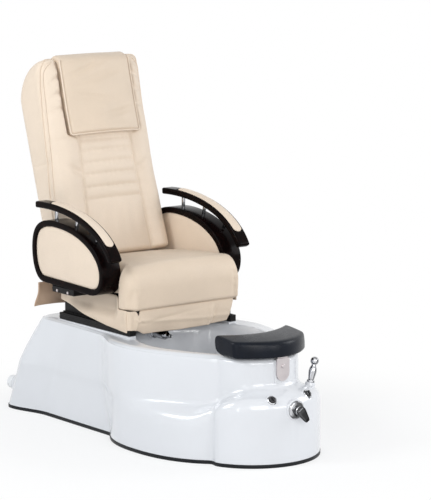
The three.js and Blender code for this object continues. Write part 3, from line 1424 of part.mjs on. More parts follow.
function footrestScrew() {
  const front = PLATE_Y - 3 * SEAT_GAP - BLADE_THICK - PLATE_THICK;
  const profile = [
    [0, -4],
    [SCREW_HEAD_RADIUS - 2, -4],
    [SCREW_HEAD_RADIUS, -2],
    [SCREW_HEAD_RADIUS, 0],
    [SCREW_RADIUS, 0],
    [SCREW_RADIUS, SCREW_LENGTH],
    [0, SCREW_LENGTH],
  ];
  return turned(profile, [0, front, FOOT_SCREW_Z], BACKWARD, 16);
}

// ---- assembly ----------------------------------------------------------------------
const sides = { right: -1, left: 1 };

function tubGroup() {
  const group = new THREE.Group();
  const moulding = tubMoulding();
  group.add(part("tub_shell", moulding.subtract(bowlZone(SEAT_GAP)), gelcoat));
  group.add(part("basin_bowl", moulding.intersect(bowlZone(0)), gelcoat));
  group.add(part("base_trim", baseTrim(), rubber));
  group.add(part("drain_outlet", drainOutlet(), white));
  group.add(part("basin_spout", basinSpout(), chrome));
  group.add(part("drain_body", drainBody(), steel));
  group.add(part("drain_stopper", drainStopper(), chrome));
  group.add(part("circulation_pump", circulationPump(), pumpGrey));
  group.add(part("mixer_plate", mixerPlate(), chrome));
  group.add(part("mixer_hub", mixerHub(), chrome));
  group.add(part("mixer_lever", mixerLever(), chrome));
  group.add(part("shower_cup", showerCup(), chrome));
  group.add(part("hand_shower", handShower(), chrome));
  group.add(part("footrest_plate", footrestPlate(), steel));
  group.add(part("footrest_screw", footrestScrew(), steel));
  group.add(part("footrest_blade", footrestBlade(), steel));
  group.add(part("footrest_pad", footrestPad(), blackFoam));
  for (const [name, side] of Object.entries(sides)) {
    group.add(part(`jet_cover_${name}`, jetCover(side), white));
    group.add(part(`knob_bezel_${name}`, knobBezel(side), chrome));
    group.add(part(`control_knob_${name}`, controlKnob(side), blackPaint));
    group.add(part(`slide_rail_${name}`, lowerRail(side), blackPaint));
  }
  return group;
}

function seatGroup() {
  const group = new THREE.Group();
  group.add(part("seat_frame", seatFrame(), blackPaint));
  group.add(part("seat_cushion", seatCushion(), leather));
  group.add(part("front_apron", frontApron(), leather));
  group.add(part("rear_flap", rearFlap(), leatherShade));
  for (const [name, side] of Object.entries(sides)) {
    group.add(part(`seat_rail_${name}`, upperRail(side), blackPaint));
    group.add(part(`seat_skirt_${name}`, seatSkirt(side), leather));
    group.add(part(`arm_ring_${name}`, armRing(side), lacquer));
    group.add(part(`arm_insert_${name}`, armInsert(side), leather));
    group.add(part(`arm_rail_${name}`, armRail(side), lacquer));
    group.add(part(`arm_pad_${name}`, armPad(side), leather));
    group.add(part(`arm_bracket_${name}`, armBracket(side), blackPaint));
    group.add(part(`hinge_pin_${name}`, hingePin(side), steel));
    POSTS.forEach((post, i) => group.add(part(`arm_post_${name}_${i + 1}`, armPost(side, post), chrome)));
    boltPlaces().forEach((y, i) => {
      group.add(part(`bracket_bolt_${name}_${i + 1}`, bracketBolt(side, y), steel));
    });
  }
  return group;
}

function backGroup() {
  const group = new THREE.Group();
  group.position.set(0, BACK_ORIGIN_Y, BACK_ORIGIN_Z);
  group.rotation.x = -rad(BACK_LEAN);
  group.add(part("back_cushion", backCushion(), leather));
  group.add(part("back_shell", backShell(), leather));
  group.add(part("pillow", pillow(), leather));
  for (const [name, side] of Object.entries(sides)) {
    group.add(part(`back_hinge_${name}`, backHinge(side), blackPaint));
  }
  return group;
}

const chair = new THREE.Group();
chair.name = "pedicure_spa_chair";
chair.add(tubGroup(), seatGroup(), backGroup());
chair.position.set(0, FRAME_SHIFT_Y, 0);

export default chair;
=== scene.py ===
import math

import bmesh
import bpy
import numpy as np
from mathutils import Matrix, Vector
from mathutils.bvhtree import BVHTree


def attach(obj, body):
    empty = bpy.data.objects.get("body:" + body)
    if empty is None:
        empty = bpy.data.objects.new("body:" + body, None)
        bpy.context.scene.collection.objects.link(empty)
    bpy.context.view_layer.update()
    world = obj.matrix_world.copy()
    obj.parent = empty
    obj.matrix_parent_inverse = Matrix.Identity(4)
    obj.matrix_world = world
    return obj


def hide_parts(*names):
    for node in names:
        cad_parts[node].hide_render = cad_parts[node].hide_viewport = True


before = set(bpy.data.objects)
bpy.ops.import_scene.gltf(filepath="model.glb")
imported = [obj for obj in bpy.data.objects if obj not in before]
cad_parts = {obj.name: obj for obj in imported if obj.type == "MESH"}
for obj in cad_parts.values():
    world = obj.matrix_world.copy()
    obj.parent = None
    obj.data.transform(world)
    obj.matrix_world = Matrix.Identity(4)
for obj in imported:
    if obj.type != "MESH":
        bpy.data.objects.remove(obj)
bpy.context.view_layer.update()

bl_info = {
    "name": "Pedicure spa chair",
    "version": (1, 0, 0),
    "blender": (4, 5, 0),
    "location": "3D View > Sidebar > Spa chair",
    "description": "Upholstery, finishes and a plain stage for a reclining chair on a moulded foot bath",
    "category": "Object",
}

MM = 0.001
# From the drawing's origin to the frame's, in millimetres.
SHIFT = np.array([0.0, -49.7, 0.0])
SIDES = {"right": -1, "left": 1}
GAP = 0.3
CORD_SIDES = 10

# Tub outline, in millimetres, with the chair's sitter facing -Y. The skirt stands on the floor and the wall on it.
NOSE_Y = -431.0
SKIRT_NOSE = 260.0
WALL_NOSE = 176.0
SKIRT_BODY_HALF = 275.0
WALL_BODY_HALF = 281.0
SKIRT_BOWL_HALF = 356.0
WALL_BOWL_HALF = 350.0
SKIRT_BOWL_Y = -150.0
WALL_BOWL_Y = -60.0
TUB_REAR_Y = 815.0
BODY_START_Y = 120.0
REAR_CORNER = 58.0
# The rear's lean and bend as it rises, and how far its corners flare.
REAR_LEAN, REAR_BEND, REAR_FLARE = 0.40, 8.1e-7, 42.0
OUTLINE_STEPS = 4
RIM_Z = 404.0
TILT = 0.013
LEDGE_DROP = 76.0
TUB_WALL = 6.0
# Height, share of the upper wall, ledge drop, rim tilt and draw-in of each level of the moulding.
TUB_LEVELS = np.array([
    (14.3, 0.0, 0.0, 0.0, 0.0), (120.0, 0.0, 0.4, 0.0, 0.0), (208.0, 0.0, 1.0, 0.0, 0.0),
    (236.0, 0.07, 1.0, 0.0, 0.0), (254.0, 0.22, 1.0, 0.0, 0.0), (268.0, 0.5, 1.0, 0.0, 0.0),
    (282.0, 0.82, 1.0, 0.0, 0.0), (294.0, 0.95, 1.0, 0.0, 0.0), (314.0, 1.0, 0.9, 0.0, 0.0),
    (378.0, 1.0, 0.0, 1.0, 0.0), (394.0, 1.0, 0.0, 1.0, 5.0), (402.0, 1.0, 0.0, 1.0, 15.0),
    (404.0, 1.0, 0.0, 1.0, 26.0),
])
# The basin's egg: centre, half width, and reach ahead of the centre and behind it.
BASIN_Y = -140.0
BASIN_HALF = 262.0
BASIN_AHEAD = 405.0
BASIN_BEHIND = 290.0
# Height and draw-in of each level of the foot basin, from the deck's lip down to its floor.
BASIN_LIP = -14.0
BASIN_LEVELS = ((403.2, -6.0), (400.5, -2.0), (396.0, 0.5), (390.0, 4.0), (360.0, 9.0), (270.0, 22.0), (222.0, 33.0),
                (180.0, 46.0), (157.0, 58.0), (142.0, 70.0), (130.0, 86.0), (124.0, 104.0), (120.3, 128.0),
                (119.6, 170.0), (119.2, 210.0))
# Draw-in and height round the edging band's section.
BAND_SECTION = ((-1.5, 0.8), (-1.5, 12.6), (-0.4, 14.0), (5, 14.0), (12, 14.0), (12, 0.0), (-0.8, 0.0))

# Fittings: centres and directions.
FORWARD, BACK, UP = (0, -1, 0), (0, 1, 0), (0, 0, 1)
MIXER = (0.0, -694.0, 212.0)
KNOB_AT = (85.5, -656.0, 253.0)
KNOB_LEAN = math.radians(42)
SHOWER_AT = (166.0, -579.0, 276.0)
SHOWER_AXIS = (math.sin(math.radians(14)), 0.0, math.cos(math.radians(14)))
OUTLET_AT = (-262.0, 782.0, 94.0)
SPOUT_AT = (-52.0, 118.0, 386.0)
JET_AT = (217.0, -150.0, 240.0)
DRAIN_AT = (0.0, -110.0, 120.0)
PLATE_Y = -611.0
RAIL_BED_X = 247.0

# Footrest pad: half length, radius of its ends, place of its profile's corner and the profile (depth, height).
PAD_HALF = 173
PAD_EDGE = 10
PAD_AT = (-627, 402)
PAD_PROFILE = ((4, 0), (50, 0), (103, 0), (136, 14), (145, 40), (146, 58), (141, 69), (130, 72), (85, 69), (40, 64),
               (20, 61), (10, 56), (5, 47), (1, 28), (0, 10), (0, 4))

# Seat, its drop and its tail.
SEAT_HALF = 247.0
ROLL_HALF = 273.0
ROLL_FRONT_Y = -27.0
ROLL_REAR_Y = 59.7
SEAT_REAR_Y = 468
ROLL_BOTTOM = 505.3
PAN_BOTTOM = 560.3
DROP_LEFT = -250.0
DROP_WIDTH = 520.0
DROP_CORNER = 29.0
DROP_FRONT_Y = -10.0
DROP_TOP, DROP_FOOT = 511.0, 423.0
TAIL_HALF = 300.0
TAIL_Y = 568
TAIL_TOP, TAIL_FOOT = 550.0, 447.0
CLOTH_THICK = 2.0
# Side panels: inner face, flare, thickness, ends, and the height of the lower edge along them.
PANEL_INNER_X = 243.5
PANEL_FLARE = 22.8
PANEL_THICK = 6
PANEL_ENDS = (5.0, 482.0)
PANEL_FOOT = ((5, 60, 142, 287, 439, 482), (425, 430, 437, 457, 482, 489))

# Arms: the rail follows one curve (y, z); posts have a share of the rail and a gap down to the oval frame.
ARM_OUTER_X = 342.0
RAIL_WIDTH = 56.0
RAIL_THICK = 26.0
RING_INNER_X = 252.0
RING_BAND = 24.0
RING_EDGE = 4.0
ARM_CURVE = ((525.0, 889.0), (300.0, 903.0), (78.0, 846.0), (5.0, 712.0))
RING_CURVES = (
    ((470, 570), (363, 567), (257, 564), (150, 561)),
    ((150, 561), (95, 562), (64, 590), (64, 647)),
    ((64, 647), (66, 735), (200, 822), (400, 824)),
    ((400, 824), (500, 824), (549, 790), (549, 700)),
    ((549, 700), (549, 630), (520, 572), (470, 570)),
)
# The pads: half width, ends as shares of the rail, and how much wider, longer and deeper their bed is.
ARM_PAD_HALF = 20
ARM_PAD_ENDS = (0.14, 0.86)
BED_ROOM = 0.4
BED_LONGER = 0.003
BED_DEPTH = 3.3
POSTS = ((0.175, 40.0), (0.41, 30.0), (0.685, 24.0))
POST_RADIUS = 7.5
POST_SUNK = 7.7

# Backrest, in its own leaning frame: depth back from the front face, height up the back.
BACK_AT = (423.0, 660.0)
BACK_LEAN = math.radians(17)
BACK_HALF = 248.0
BACK_DEPTH = 168.0
BACK_FOOT = -3.0
BACK_TOP = 806.0
BACK_CROWN = 27.0
CROWN_END = 800
SHOULDER = 590.0
CHANNELS = (225.0, 271.0, 323.0, 370.0, 418.0, 465.0, 512.0, 560.0)
BOXING_SEAM = 404
# Height, lean and width of each long crease of the bolsters.
BOLSTER_CREASES = ((735, 0.7, 10), (668, 0.5, 13), (604, 0.3, 10), (330, -0.5, 16))
# The two sewn edges up each side of the back and round its shoulder: side, depth and height.
PIPING = (
    ((250, 66, 4), (250, 62, 120), (250, 54, 262), (250, 34, 400), (250, 19, 500), (249, 10, 590), (248, 0, 660),
     (246, -8, 715), (239, -15, 755), (224, -20, 784), (203, -22, 798), (178, -22, 801)),
    ((246, 37, 4), (246, 32, 120), (244, 24, 262), (242, 10, 400), (240, 0, 500), (238, -6, 590), (236, -12, 650),
     (233, -16, 700), (226, -20, 738), (213, -22, 765), (196, -24, 783), (178, -24, 789)),
)
PILLOW_HALF = 169.0
PILLOW_BOTTOM = 487.0
PILLOW_THICK = 34.0
PILLOW_STAND = 1.5
# Place along the pillow, lean and width, then place across and width, and depth of each crease.
PILLOW_CREASES = ((282, 0.34, 11, -60, 110), (226, 0.26, 15, -10, 120), (128, -0.22, 16, -50, 90),
                  (62, 0.2, 14, 70, 90))

# Lamps: place, aim, size, share of its power setting, name of that setting and colour.
LAMPS = {
    "key_light": ((-1.9, -4.5, 2.1), (0, -0.1, 0.6), (2.4, 2.0), 1.0, "key", (1.0, 0.99, 0.97)),
    "side_light": ((-3.4, 0.5, 3.0), (0, 0.6, 1.5), (1.6, 1.6), 1.3, "fill", (0.95, 0.98, 1.0)),
    "strip_light": ((-3.4, -2.3, 1.2), (0, -0.2, 0.5), (0.2, 2.2), 0.1, "fill", (1, 1, 1)),
    "right_light": ((3.6, -2.2, 2.4), (0, 0, 0.5), (2.0, 2.0), 1.0, "fill", (0.96, 0.98, 1.0)),
    "low_light": ((0.6, -4.4, 1.5), (0, 0.2, 0.4), (1.6, 0.7), 0.38, "fill", (0.97, 0.98, 1.0)),
}
CAMERA_AT = (-5.79, -7.6752, 2.3066)
CAMERA_TURN = (math.radians(80.62), 0.0, math.radians(-37.967))
CAMERA_LENS = 178.89


# ---- user settings -----------------------------------------------------------------
class ChairUpholstery(bpy.types.PropertyGroup):
    """Sizes and colours of the upholstery."""

    cream: bpy.props.FloatVectorProperty(
        name="Cream", description="Colour of the cream leather", subtype="COLOR", size=3,
        default=(0.78, 0.65, 0.52), min=0, max=1)
    # Painted shade: a darker, warmer copy of the cream leather for the pillow and the seat's lower parts, where shade
    # falls; the real leather is the same cream.
    shaded_cream: bpy.props.FloatVectorProperty(
        name="Shaded cream", description="Colour of the leather of the pillow and of the seat's lower parts",
        subtype="COLOR", size=3, default=(0.71, 0.58, 0.45), min=0, max=1)
    # Painted shade: a darker, warmer leather colour for the rear tail, which lies in shade under the seat.
    tan: bpy.props.FloatVectorProperty(
        name="Tail shade", description="Colour of the tan leather of the rear tail", subtype="COLOR", size=3,
        default=(0.66, 0.46, 0.32), min=0, max=1)
    channel_depth: bpy.props.FloatProperty(
        name="Channel depth", description="Depth of the stitched channels of the back", subtype="DISTANCE",
        unit="LENGTH", default=0.008, min=0.002, max=0.015)
    piping: bpy.props.FloatProperty(
        name="Piping radius", description="Radius of the sewn piping", subtype="DISTANCE", unit="LENGTH",
        default=0.0028, min=0.001, max=0.005)
    gather: bpy.props.FloatProperty(
        name="Gather depth", description="Depth of the gathers of the front drop", subtype="DISTANCE",
        unit="LENGTH", default=0.0035, min=0.0, max=0.005)


class ChairHardware(bpy.types.PropertyGroup):
    """Colours of the tub, the arms and the fittings."""

    gelcoat: bpy.props.FloatVectorProperty(
        name="Tub", description="Colour of the glossy tub", subtype="COLOR", size=3,
        default=(0.665, 0.676, 0.70), min=0, max=1)
    lacquer: bpy.props.FloatVectorProperty(
        name="Lacquer", description="Colour of the dark lacquered arms", subtype="COLOR", size=3,
        default=(0.0022, 0.0013, 0.0013), min=0, max=1)
    footrest: bpy.props.FloatVectorProperty(
        name="Footrest", description="Colour of the skinned foam footrest", subtype="COLOR", size=3,
        default=(0.003, 0.0045, 0.0085), min=0, max=1)
    metal: bpy.props.FloatVectorProperty(
        name="Chrome", description="Colour of the plated fittings", subtype="COLOR", size=3,
        default=(0.74, 0.75, 0.78), min=0, max=1)


class ChairStage(bpy.types.PropertyGroup):
    """Light and floor."""

    key: bpy.props.FloatProperty(name="Key light", description="Power of the large front light in watts",
                                 default=66.0, min=0)
    fill: bpy.props.FloatProperty(name="Fill light", description="Power of the side light in watts",
                                  default=60.0, min=0)
    sky: bpy.props.FloatProperty(name="Surround", description="Strength of the soft surrounding light",
                                 default=0.6, min=0)
    floor: bpy.props.FloatVectorProperty(
        name="Floor", description="Colour of the plain floor", subtype="COLOR", size=3,
        default=(0.86, 0.86, 0.86), min=0, max=1)


def upholstery():
    return bpy.context.scene.chair_upholstery


def hardware():
    return bpy.context.scene.chair_hardware


# ---- number helpers ----------------------------------------------------------------
def place(points):
    """Drawing millimetres to metres in the row frame."""
    return (np.asarray(points, float) + SHIFT) * MM


def ease(value, start, end):
    """0 before start, 1 after end, smooth in between."""
    share = np.clip((value - start) / (end - start), 0.0, 1.0)
    return share * share * (3 - 2 * share)


def bell(value, centre, width):
    return np.exp(-(((value - centre) / width) ** 2))


def arch(share):
    """0 at both ends of a unit range and 1 in its middle."""
    return np.sin(np.pi * np.clip(share, 0, 1))


def mix(a, b, share):
    return a + (b - a) * share


def ripple(u, v, seed=0.0):
    """Smooth irregular waves between -1 and 1."""
    first = np.sin(u + 1.7 * np.sin(0.53 * v + seed))
    second = np.sin(1.31 * v + 0.7 * u + 2.1 * seed)
    third = np.sin(0.61 * u - 0.83 * v + 3.3 * seed)
    return (first + second + third) / 3


def arc(start, end, count):
    """Angles in radians between two in degrees."""
    return np.radians(np.linspace(start, end, count))


def on_side(at, side):
    """A place given for the left side, on its own side."""
    return (side * at[0], *at[1:])


def unit_rows(rows):
    return rows / np.maximum(np.linalg.norm(rows, axis=1), 1e-9)[:, None]


def lengths(points):
    """How far along its polyline each point lies."""
    return np.r_[0, np.cumsum(np.linalg.norm(np.diff(points, axis=0), axis=1))]


def columns_at(at, known, rows):
    """Rows of values, read in between at new places."""
    return np.stack([np.interp(at, known, column) for column in rows.T], 1)


def catmull(rows, steps):
    """Rows of values, made finer with a smooth curve through them."""
    rows = np.asarray(rows, float)
    padded = np.vstack([rows[:1], rows, rows[-1:]])
    finer = []
    for a, b, c, d in zip(padded, padded[1:], padded[2:], padded[3:]):
        for t in np.arange(steps) / steps:
            finer.append(0.5 * (2 * b + (c - a) * t + (2 * a - 5 * b + 4 * c - d) * t ** 2
                                + (3 * b - a - 3 * c + d) * t ** 3))
    return np.array([*finer, rows[-1]])


def bezier(corners, t):
    p = np.asarray(corners, float)
    t = np.asarray(t, float)[:, None]
    return (1 - t) ** 3 * p[0] + 3 * t * (1 - t) ** 2 * p[1] + 3 * t ** 2 * (1 - t) * p[2] + t ** 3 * p[3]


def bent(start, corner, end, t):
    """A curve from start to end that leans to the corner."""
    return (1 - t) ** 2 * np.asarray(start) + 2 * t * (1 - t) * np.asarray(corner) + t * t * np.asarray(end)


def resampled(points, count, closed=False):
    """Points spaced evenly along a polyline."""
    points = np.asarray(points, float)
    if closed:
        points = np.vstack([points, points[:1]])
    run = lengths(points)
    at = np.linspace(0, run[-1], count + 1)[:-1] if closed else np.linspace(0, run[-1], count)
    return columns_at(at, run, points)


def drawn_in(outline, distance):
    """A closed counter-clockwise outline, moved inwards."""
    run = unit_rows(np.roll(outline, -1, 0) - np.roll(outline, 1, 0))
    return outline + np.stack([-run[:, 1], run[:, 0]], 1) * distance


def upright(line, x):
    """A (y, z) line at one x."""
    return np.column_stack([np.full(len(line), x), line])


def rounded(a, b, c, low, high, near, far):
    """Unit lattice to a box with rounded edges; near and far are the radii at each axis's ends."""
    low, high, near, far = (np.asarray(v, float) for v in (low, high, near, far))
    point = low + np.stack([a, b, c], 1) * (high - low)
    inner = np.clip(point, low + near, high - far)
    gap = point - inner
    radius = np.where(gap < 0, near, far)
    share = gap / np.where(radius > 0, radius, 1.0)
    length = np.linalg.norm(share, axis=1)
    reach = np.abs(share).max(axis=1)
    return inner + gap * np.where(length > 1e-9, reach / np.maximum(length, 1e-9), 1.0)[:, None]


# ---- mesh helpers ------------------------------------------------------------------
def lattice(*steps):
    """A closed box of quads on the unit cube, with its own number of steps along each axis."""
    bm = bmesh.new()
    bmesh.ops.create_cube(bm, size=1.0, matrix=Matrix.Translation((0.5, 0.5, 0.5)))
    for axis, count in enumerate(steps):
        across = [e for e in bm.edges if abs(e.verts[0].co[axis] - e.verts[1].co[axis]) > 0.9]
        if count > 1:
            bmesh.ops.subdivide_edges(bm, edges=across, cuts=count - 1, use_grid_fill=True)
    return bm


def cloth_grid(across, down):
    """A flat grid of quads on the unit square."""
    bm = bmesh.new()
    bmesh.ops.create_grid(bm, x_segments=across, y_segments=down, size=0.5)
    bmesh.ops.translate(bm, verts=bm.verts, vec=(0.5, 0.5, 0.0))
    return bm


def put(ring, points):
    for vert, point in zip(ring, points):
        vert.co = point


def moved(bm, rule):
    """Puts every point of a unit lattice where the rule says, in drawing millimetres."""
    at = np.array([v.co[:] for v in bm.verts])
    put(bm.verts, place(rule(*at.T)))
    return bm


def drawn_out(bm, ring, edges, points):
    """Extrudes a ring of points and puts the new ring at its own points."""
    made = bmesh.ops.extrude_edge_only(bm, edges=edges)["geom"]
    fresh = {g for g in made if isinstance(g, bmesh.types.BMVert)}
    following = [next(e.other_vert(v) for e in v.link_edges if e.other_vert(v) in fresh) for v in ring]
    put(following, points)
    edges = [e for e in made if isinstance(e, bmesh.types.BMEdge) and all(v in fresh for v in e.verts)]
    return following, edges


def skin(rings, ends="closed"):
    """A skin over rings of equal count in drawing millimetres. Its ends are closed with fans, or foot for the last
    one only, or joined, which makes a loop."""
    rings = [place(ring) for ring in rings]
    bm = bmesh.new()
    bmesh.ops.create_circle(bm, segments=len(rings[0]), radius=1.0)
    ring = list(bm.verts)
    edges = first = list(bm.edges)
    put(ring, rings[0])
    for points in rings[1:]:
        ring, edges = drawn_out(bm, ring, edges, points)
    if ends == "joined":
        bmesh.ops.bridge_loops(bm, edges=first + edges)
    for open_end in {"closed": (edges, first), "foot": (edges,), "joined": ()}[ends]:
        bmesh.ops.poke(bm, faces=bmesh.ops.edgeloop_fill(bm, edges=open_end)["faces"])
    return bm


def tube(path, radius):
    """A round cord along a path in drawing millimetres."""
    run = unit_rows(np.gradient(path, axis=0))
    side = np.cross(run[0], [0.31, 0.52, 0.8])
    turn = np.linspace(0, 2 * np.pi, CORD_SIDES, endpoint=False)[:, None]
    rings = []
    for point, direction in zip(path, run):
        side = side - direction * side.dot(direction)
        side /= np.linalg.norm(side)
        rings.append(point + radius * (np.cos(turn) * side + np.sin(turn) * np.cross(direction, side)))
    return skin(rings)


def eased_profile(profile, radius):
    """A profile with its inner corners cut by small curves."""
    profile = np.array(profile, float)
    eased = [profile[0]]
    for before, corner, after in zip(profile, profile[1:], profile[2:]):
        sides = np.array([before - corner, after - corner])
        reach = min(radius, *(0.42 * np.linalg.norm(sides, axis=1)))
        start, end = corner + unit_rows(sides) * reach
        eased += [bent(start, corner, end, t) for t in (0.0, 0.3, 0.7, 1.0)]
    return [*eased, profile[-1]]


def turn_to(axis):
    """The rotation from straight up to an axis."""
    return Vector((0, 0, 1)).rotation_difference(Vector(axis).normalized()).to_matrix()


def turned(profile, origin, axis, radius=0.8, steps=64):
    """A turned piece: the profile holds (radius, distance along the axis) in millimetres."""
    bm = bmesh.new()
    verts = [bm.verts.new((r * MM, 0, h * MM)) for r, h in eased_profile(profile, radius)]
    edges = [bm.edges.new(pair) for pair in zip(verts, verts[1:])]
    bmesh.ops.spin(bm, geom=verts + edges, cent=(0, 0, 0), axis=UP, angle=2 * math.pi, steps=steps, use_merge=True)
    bmesh.ops.remove_doubles(bm, verts=bm.verts, dist=1e-6)
    bmesh.ops.transform(bm, matrix=Matrix.Translation(place(origin)) @ turn_to(axis).to_4x4(), verts=bm.verts)
    return bm


def together(bm, other):
    """Adds a second shape to the first one's mesh."""
    for shape in (bm, other):
        bmesh.ops.recalc_face_normals(shape, faces=shape.faces)
    held = bpy.data.meshes.new("held")
    other.to_mesh(held)
    other.free()
    bm.from_mesh(held)
    bpy.data.meshes.remove(held)
    return bm


def linked(name, data):
    """A new object of the scene."""
    thing = bpy.data.objects.new(name, data)
    bpy.context.scene.collection.objects.link(thing)
    return thing


def made(bm, name, body, slot, material, replaces=(), levels=0, sharp=None):
    """Turns a shape into a finished piece that rides its body."""
    bmesh.ops.recalc_face_normals(bm, faces=bm.faces)
    mesh = bpy.data.meshes.new(name)
    bm.to_mesh(mesh)
    bm.free()
    if len(mesh.polygons) == 0:
        raise RuntimeError(f"{name} came out empty")
    mesh.polygons.foreach_set("use_smooth", [True] * len(mesh.polygons))
    if sharp is not None:
        mesh.set_sharp_from_angle(angle=math.radians(sharp))
    piece = linked(name, mesh)
    mesh.materials.append(finish_of(material))
    if levels:
        finer = piece.modifiers.new("Finer", "SUBSURF")
        finer.levels = finer.render_levels = levels
    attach(piece, body)
    if replaces:
        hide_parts(*replaces)
    return piece


# ---- finishes ----------------------------------------------------------------------
def wire(tree, target, links):
    """Links or sets a node's inputs; links maps their names or numbers to sockets or plain values."""
    for key, value in links.items():
        if isinstance(value, bpy.types.NodeSocket):
            tree.links.new(value, target.inputs[key])
        else:
            target.inputs[key].default_value = value


def node(tree, kind, links=None, **values):
    made_node = tree.nodes.new(kind)
    for key, value in values.items():
        setattr(made_node, key, value)
    wire(tree, made_node, links or {})
    return made_node


def socket(tree, kind, links=None, port=0, **values):
    """One output of a new node."""
    return node(tree, kind, links, **values).outputs[port]


def worked(tree, operation, a, b, c=0.0):
    return socket(tree, "ShaderNodeMath", {0: a, 1: b, 2: c}, operation=operation)


def vector_worked(tree, operation, a, b):
    return socket(tree, "ShaderNodeVectorMath", {0: a, 1: b}, operation=operation)


def ranged(tree, value, low, high, to_low=0.0, to_high=1.0, kind="LINEAR"):
    return socket(tree, "ShaderNodeMapRange", {"Value": value, "From Min": low, "From Max": high, "To Min": to_low,
                                            "To Max": to_high}, interpolation_type=kind)


def blended(tree, share, a, b, blend="MIX"):
    return socket(tree, "ShaderNodeMix", {0: share, 6: a, 7: b}, 2, data_type="RGBA", blend_type=blend)


def group_of(name, inputs, outputs, build):
    """The shader group of that name, made once; build takes its tree and inputs and returns its outputs' sockets."""
    if name not in bpy.data.node_groups:
        tree = bpy.data.node_groups.new(name, "ShaderNodeTree")
        tree.interface.new_socket(name="Vector", in_out="INPUT", socket_type="NodeSocketVector")
        for label, value in inputs.items():
            kind = "NodeSocketFloat" if isinstance(value, float) else "NodeSocketVector"
            tree.interface.new_socket(name=label, in_out="INPUT", socket_type=kind).default_value = value
        for label in outputs:
            tree.interface.new_socket(name=label, in_out="OUTPUT", socket_type="NodeSocketFloat")
        results = build(tree, tree.nodes.new("NodeGroupInput").outputs)
        node(tree, "NodeGroupOutput", dict(zip(outputs, results)))
    return bpy.data.node_groups[name]


def patches(tree, where, scale, low, high):
    """Slow patches: a value that wanders between a low and a high one."""
    def build(inner, start):
        noise = socket(inner, "ShaderNodeTexNoise", {"Vector": start["Vector"], "Scale": start["Scale"], "Detail": 5.0,
                                                  "Roughness": 0.55})
        return [ranged(inner, noise, 0.3, 0.7, start["Low"], start["High"])]

    group = group_of("Slow patches", {"Scale": 8.0, "Low": 0.0, "High": 1.0}, ["Value"], build)
    return socket(tree, "ShaderNodeGroup", {"Vector": where, "Scale": scale, "Low": low, "High": high}, node_tree=group)


def hide(tree, where, scale):
    """Leather grain: small cells with creases between them and finer pores; returns its height and its creases."""
    def build(inner, start):
        at = start["Vector"]
        wander = socket(inner, "ShaderNodeTexNoise", {"Vector": at, "Scale": 60.0, "Detail": 2.0}, "Color")
        bend = vector_worked(inner, "MULTIPLY", wander, (0.004, 0.004, 0.004))
        shifted = vector_worked(inner, "ADD", at, bend)
        cells = socket(inner, "ShaderNodeTexVoronoi", {"Vector": shifted, "Scale": start["Scale"]}, "Distance",
                    feature="DISTANCE_TO_EDGE")
        edge = ranged(inner, cells, 0.0, 0.28, kind="SMOOTHSTEP")
        pores = socket(inner, "ShaderNodeTexNoise", {"Vector": at, "Scale": 1500.0, "Detail": 2.0})
        return [worked(inner, "MULTIPLY_ADD", pores, 0.25, edge), worked(inner, "SUBTRACT", 1.0, edge)]

    group = group_of("Hide grain", {"Scale": 420.0}, ["Height", "Crease"], build)
    return node(tree, "ShaderNodeGroup", {"Vector": where, "Scale": scale}, node_tree=group).outputs


def grain(tree, where, scale, stretch=(1, 1, 1)):
    """Fine moulded or brushed texture, stretched along one axis by its own amounts."""
    def build(inner, start):
        stretched = vector_worked(inner, "MULTIPLY", start["Vector"], start["Stretch"])
        return [socket(inner, "ShaderNodeTexNoise", {"Vector": stretched, "Scale": start["Scale"], "Detail": 4.0,
                                                  "Roughness": 0.6})]

    group = group_of("Fine grain", {"Stretch": (1.0, 1.0, 1.0), "Scale": 300.0}, ["Height"], build)
    return socket(tree, "ShaderNodeGroup", {"Vector": where, "Stretch": stretch, "Scale": scale}, node_tree=group)


def base_finish(name, color, other, patch, roughness, metallic=0.0, coat=0.0, coat_rough=0.05, specular=0.5):
    """A material whose colour and roughness wander slowly; returns it with its tree, shader, coordinates and tint."""
    material = bpy.data.materials.new(name)
    material.use_nodes = True
    tree = material.node_tree
    shader = tree.nodes["Principled BSDF"]
    where = socket(tree, "ShaderNodeTexCoord", port="Object")
    tint = blended(tree, patches(tree, where, patch, 0.0, 1.0), (*color, 1), (*other, 1))
    wire(tree, shader, {"Base Color": tint, "Roughness": patches(tree, where, patch * 2.3, *roughness),
                        "Metallic": metallic, "Coat Weight": coat, "Coat Roughness": coat_rough,
                        "Specular IOR Level": specular})
    return material, tree, shader, where, tint


def bumped(tree, shader, height, distance, strength):
    bump = socket(tree, "ShaderNodeBump", {"Height": height, "Distance": distance, "Strength": strength})
    tree.links.new(bump, shader.inputs["Normal"])


def toned(color, factor):
    return tuple(min(1.0, c * factor) for c in color)


def leather_finish(name, color, scale):
    """Grained leather: cells with darker creases, slow patches of tone and soft gloss."""
    material, tree, shader, where, tint = base_finish(name, color, toned(color, 0.95), 9.0, (0.40, 0.52),
                                                      specular=0.4)
    height, crease = hide(tree, where, scale)
    darker = blended(tree, worked(tree, "MULTIPLY", crease, 0.22), tint, (*toned(color, 0.62), 1))
    wire(tree, shader, {"Base Color": darker, "Sheen Weight": 0.05})
    bumped(tree, shader, height, 0.00025, 0.55)
    return material


def plain_finish(name, color, other, patch, roughness, scale, depth, stretch=(1, 1, 1), **more):
    """Moulded, painted or metal finish with fine grain."""
    material, tree, shader, where, _ = base_finish(name, color, other, patch, roughness, **more)
    bumped(tree, shader, grain(tree, where, scale, stretch), depth, 0.5)
    return material


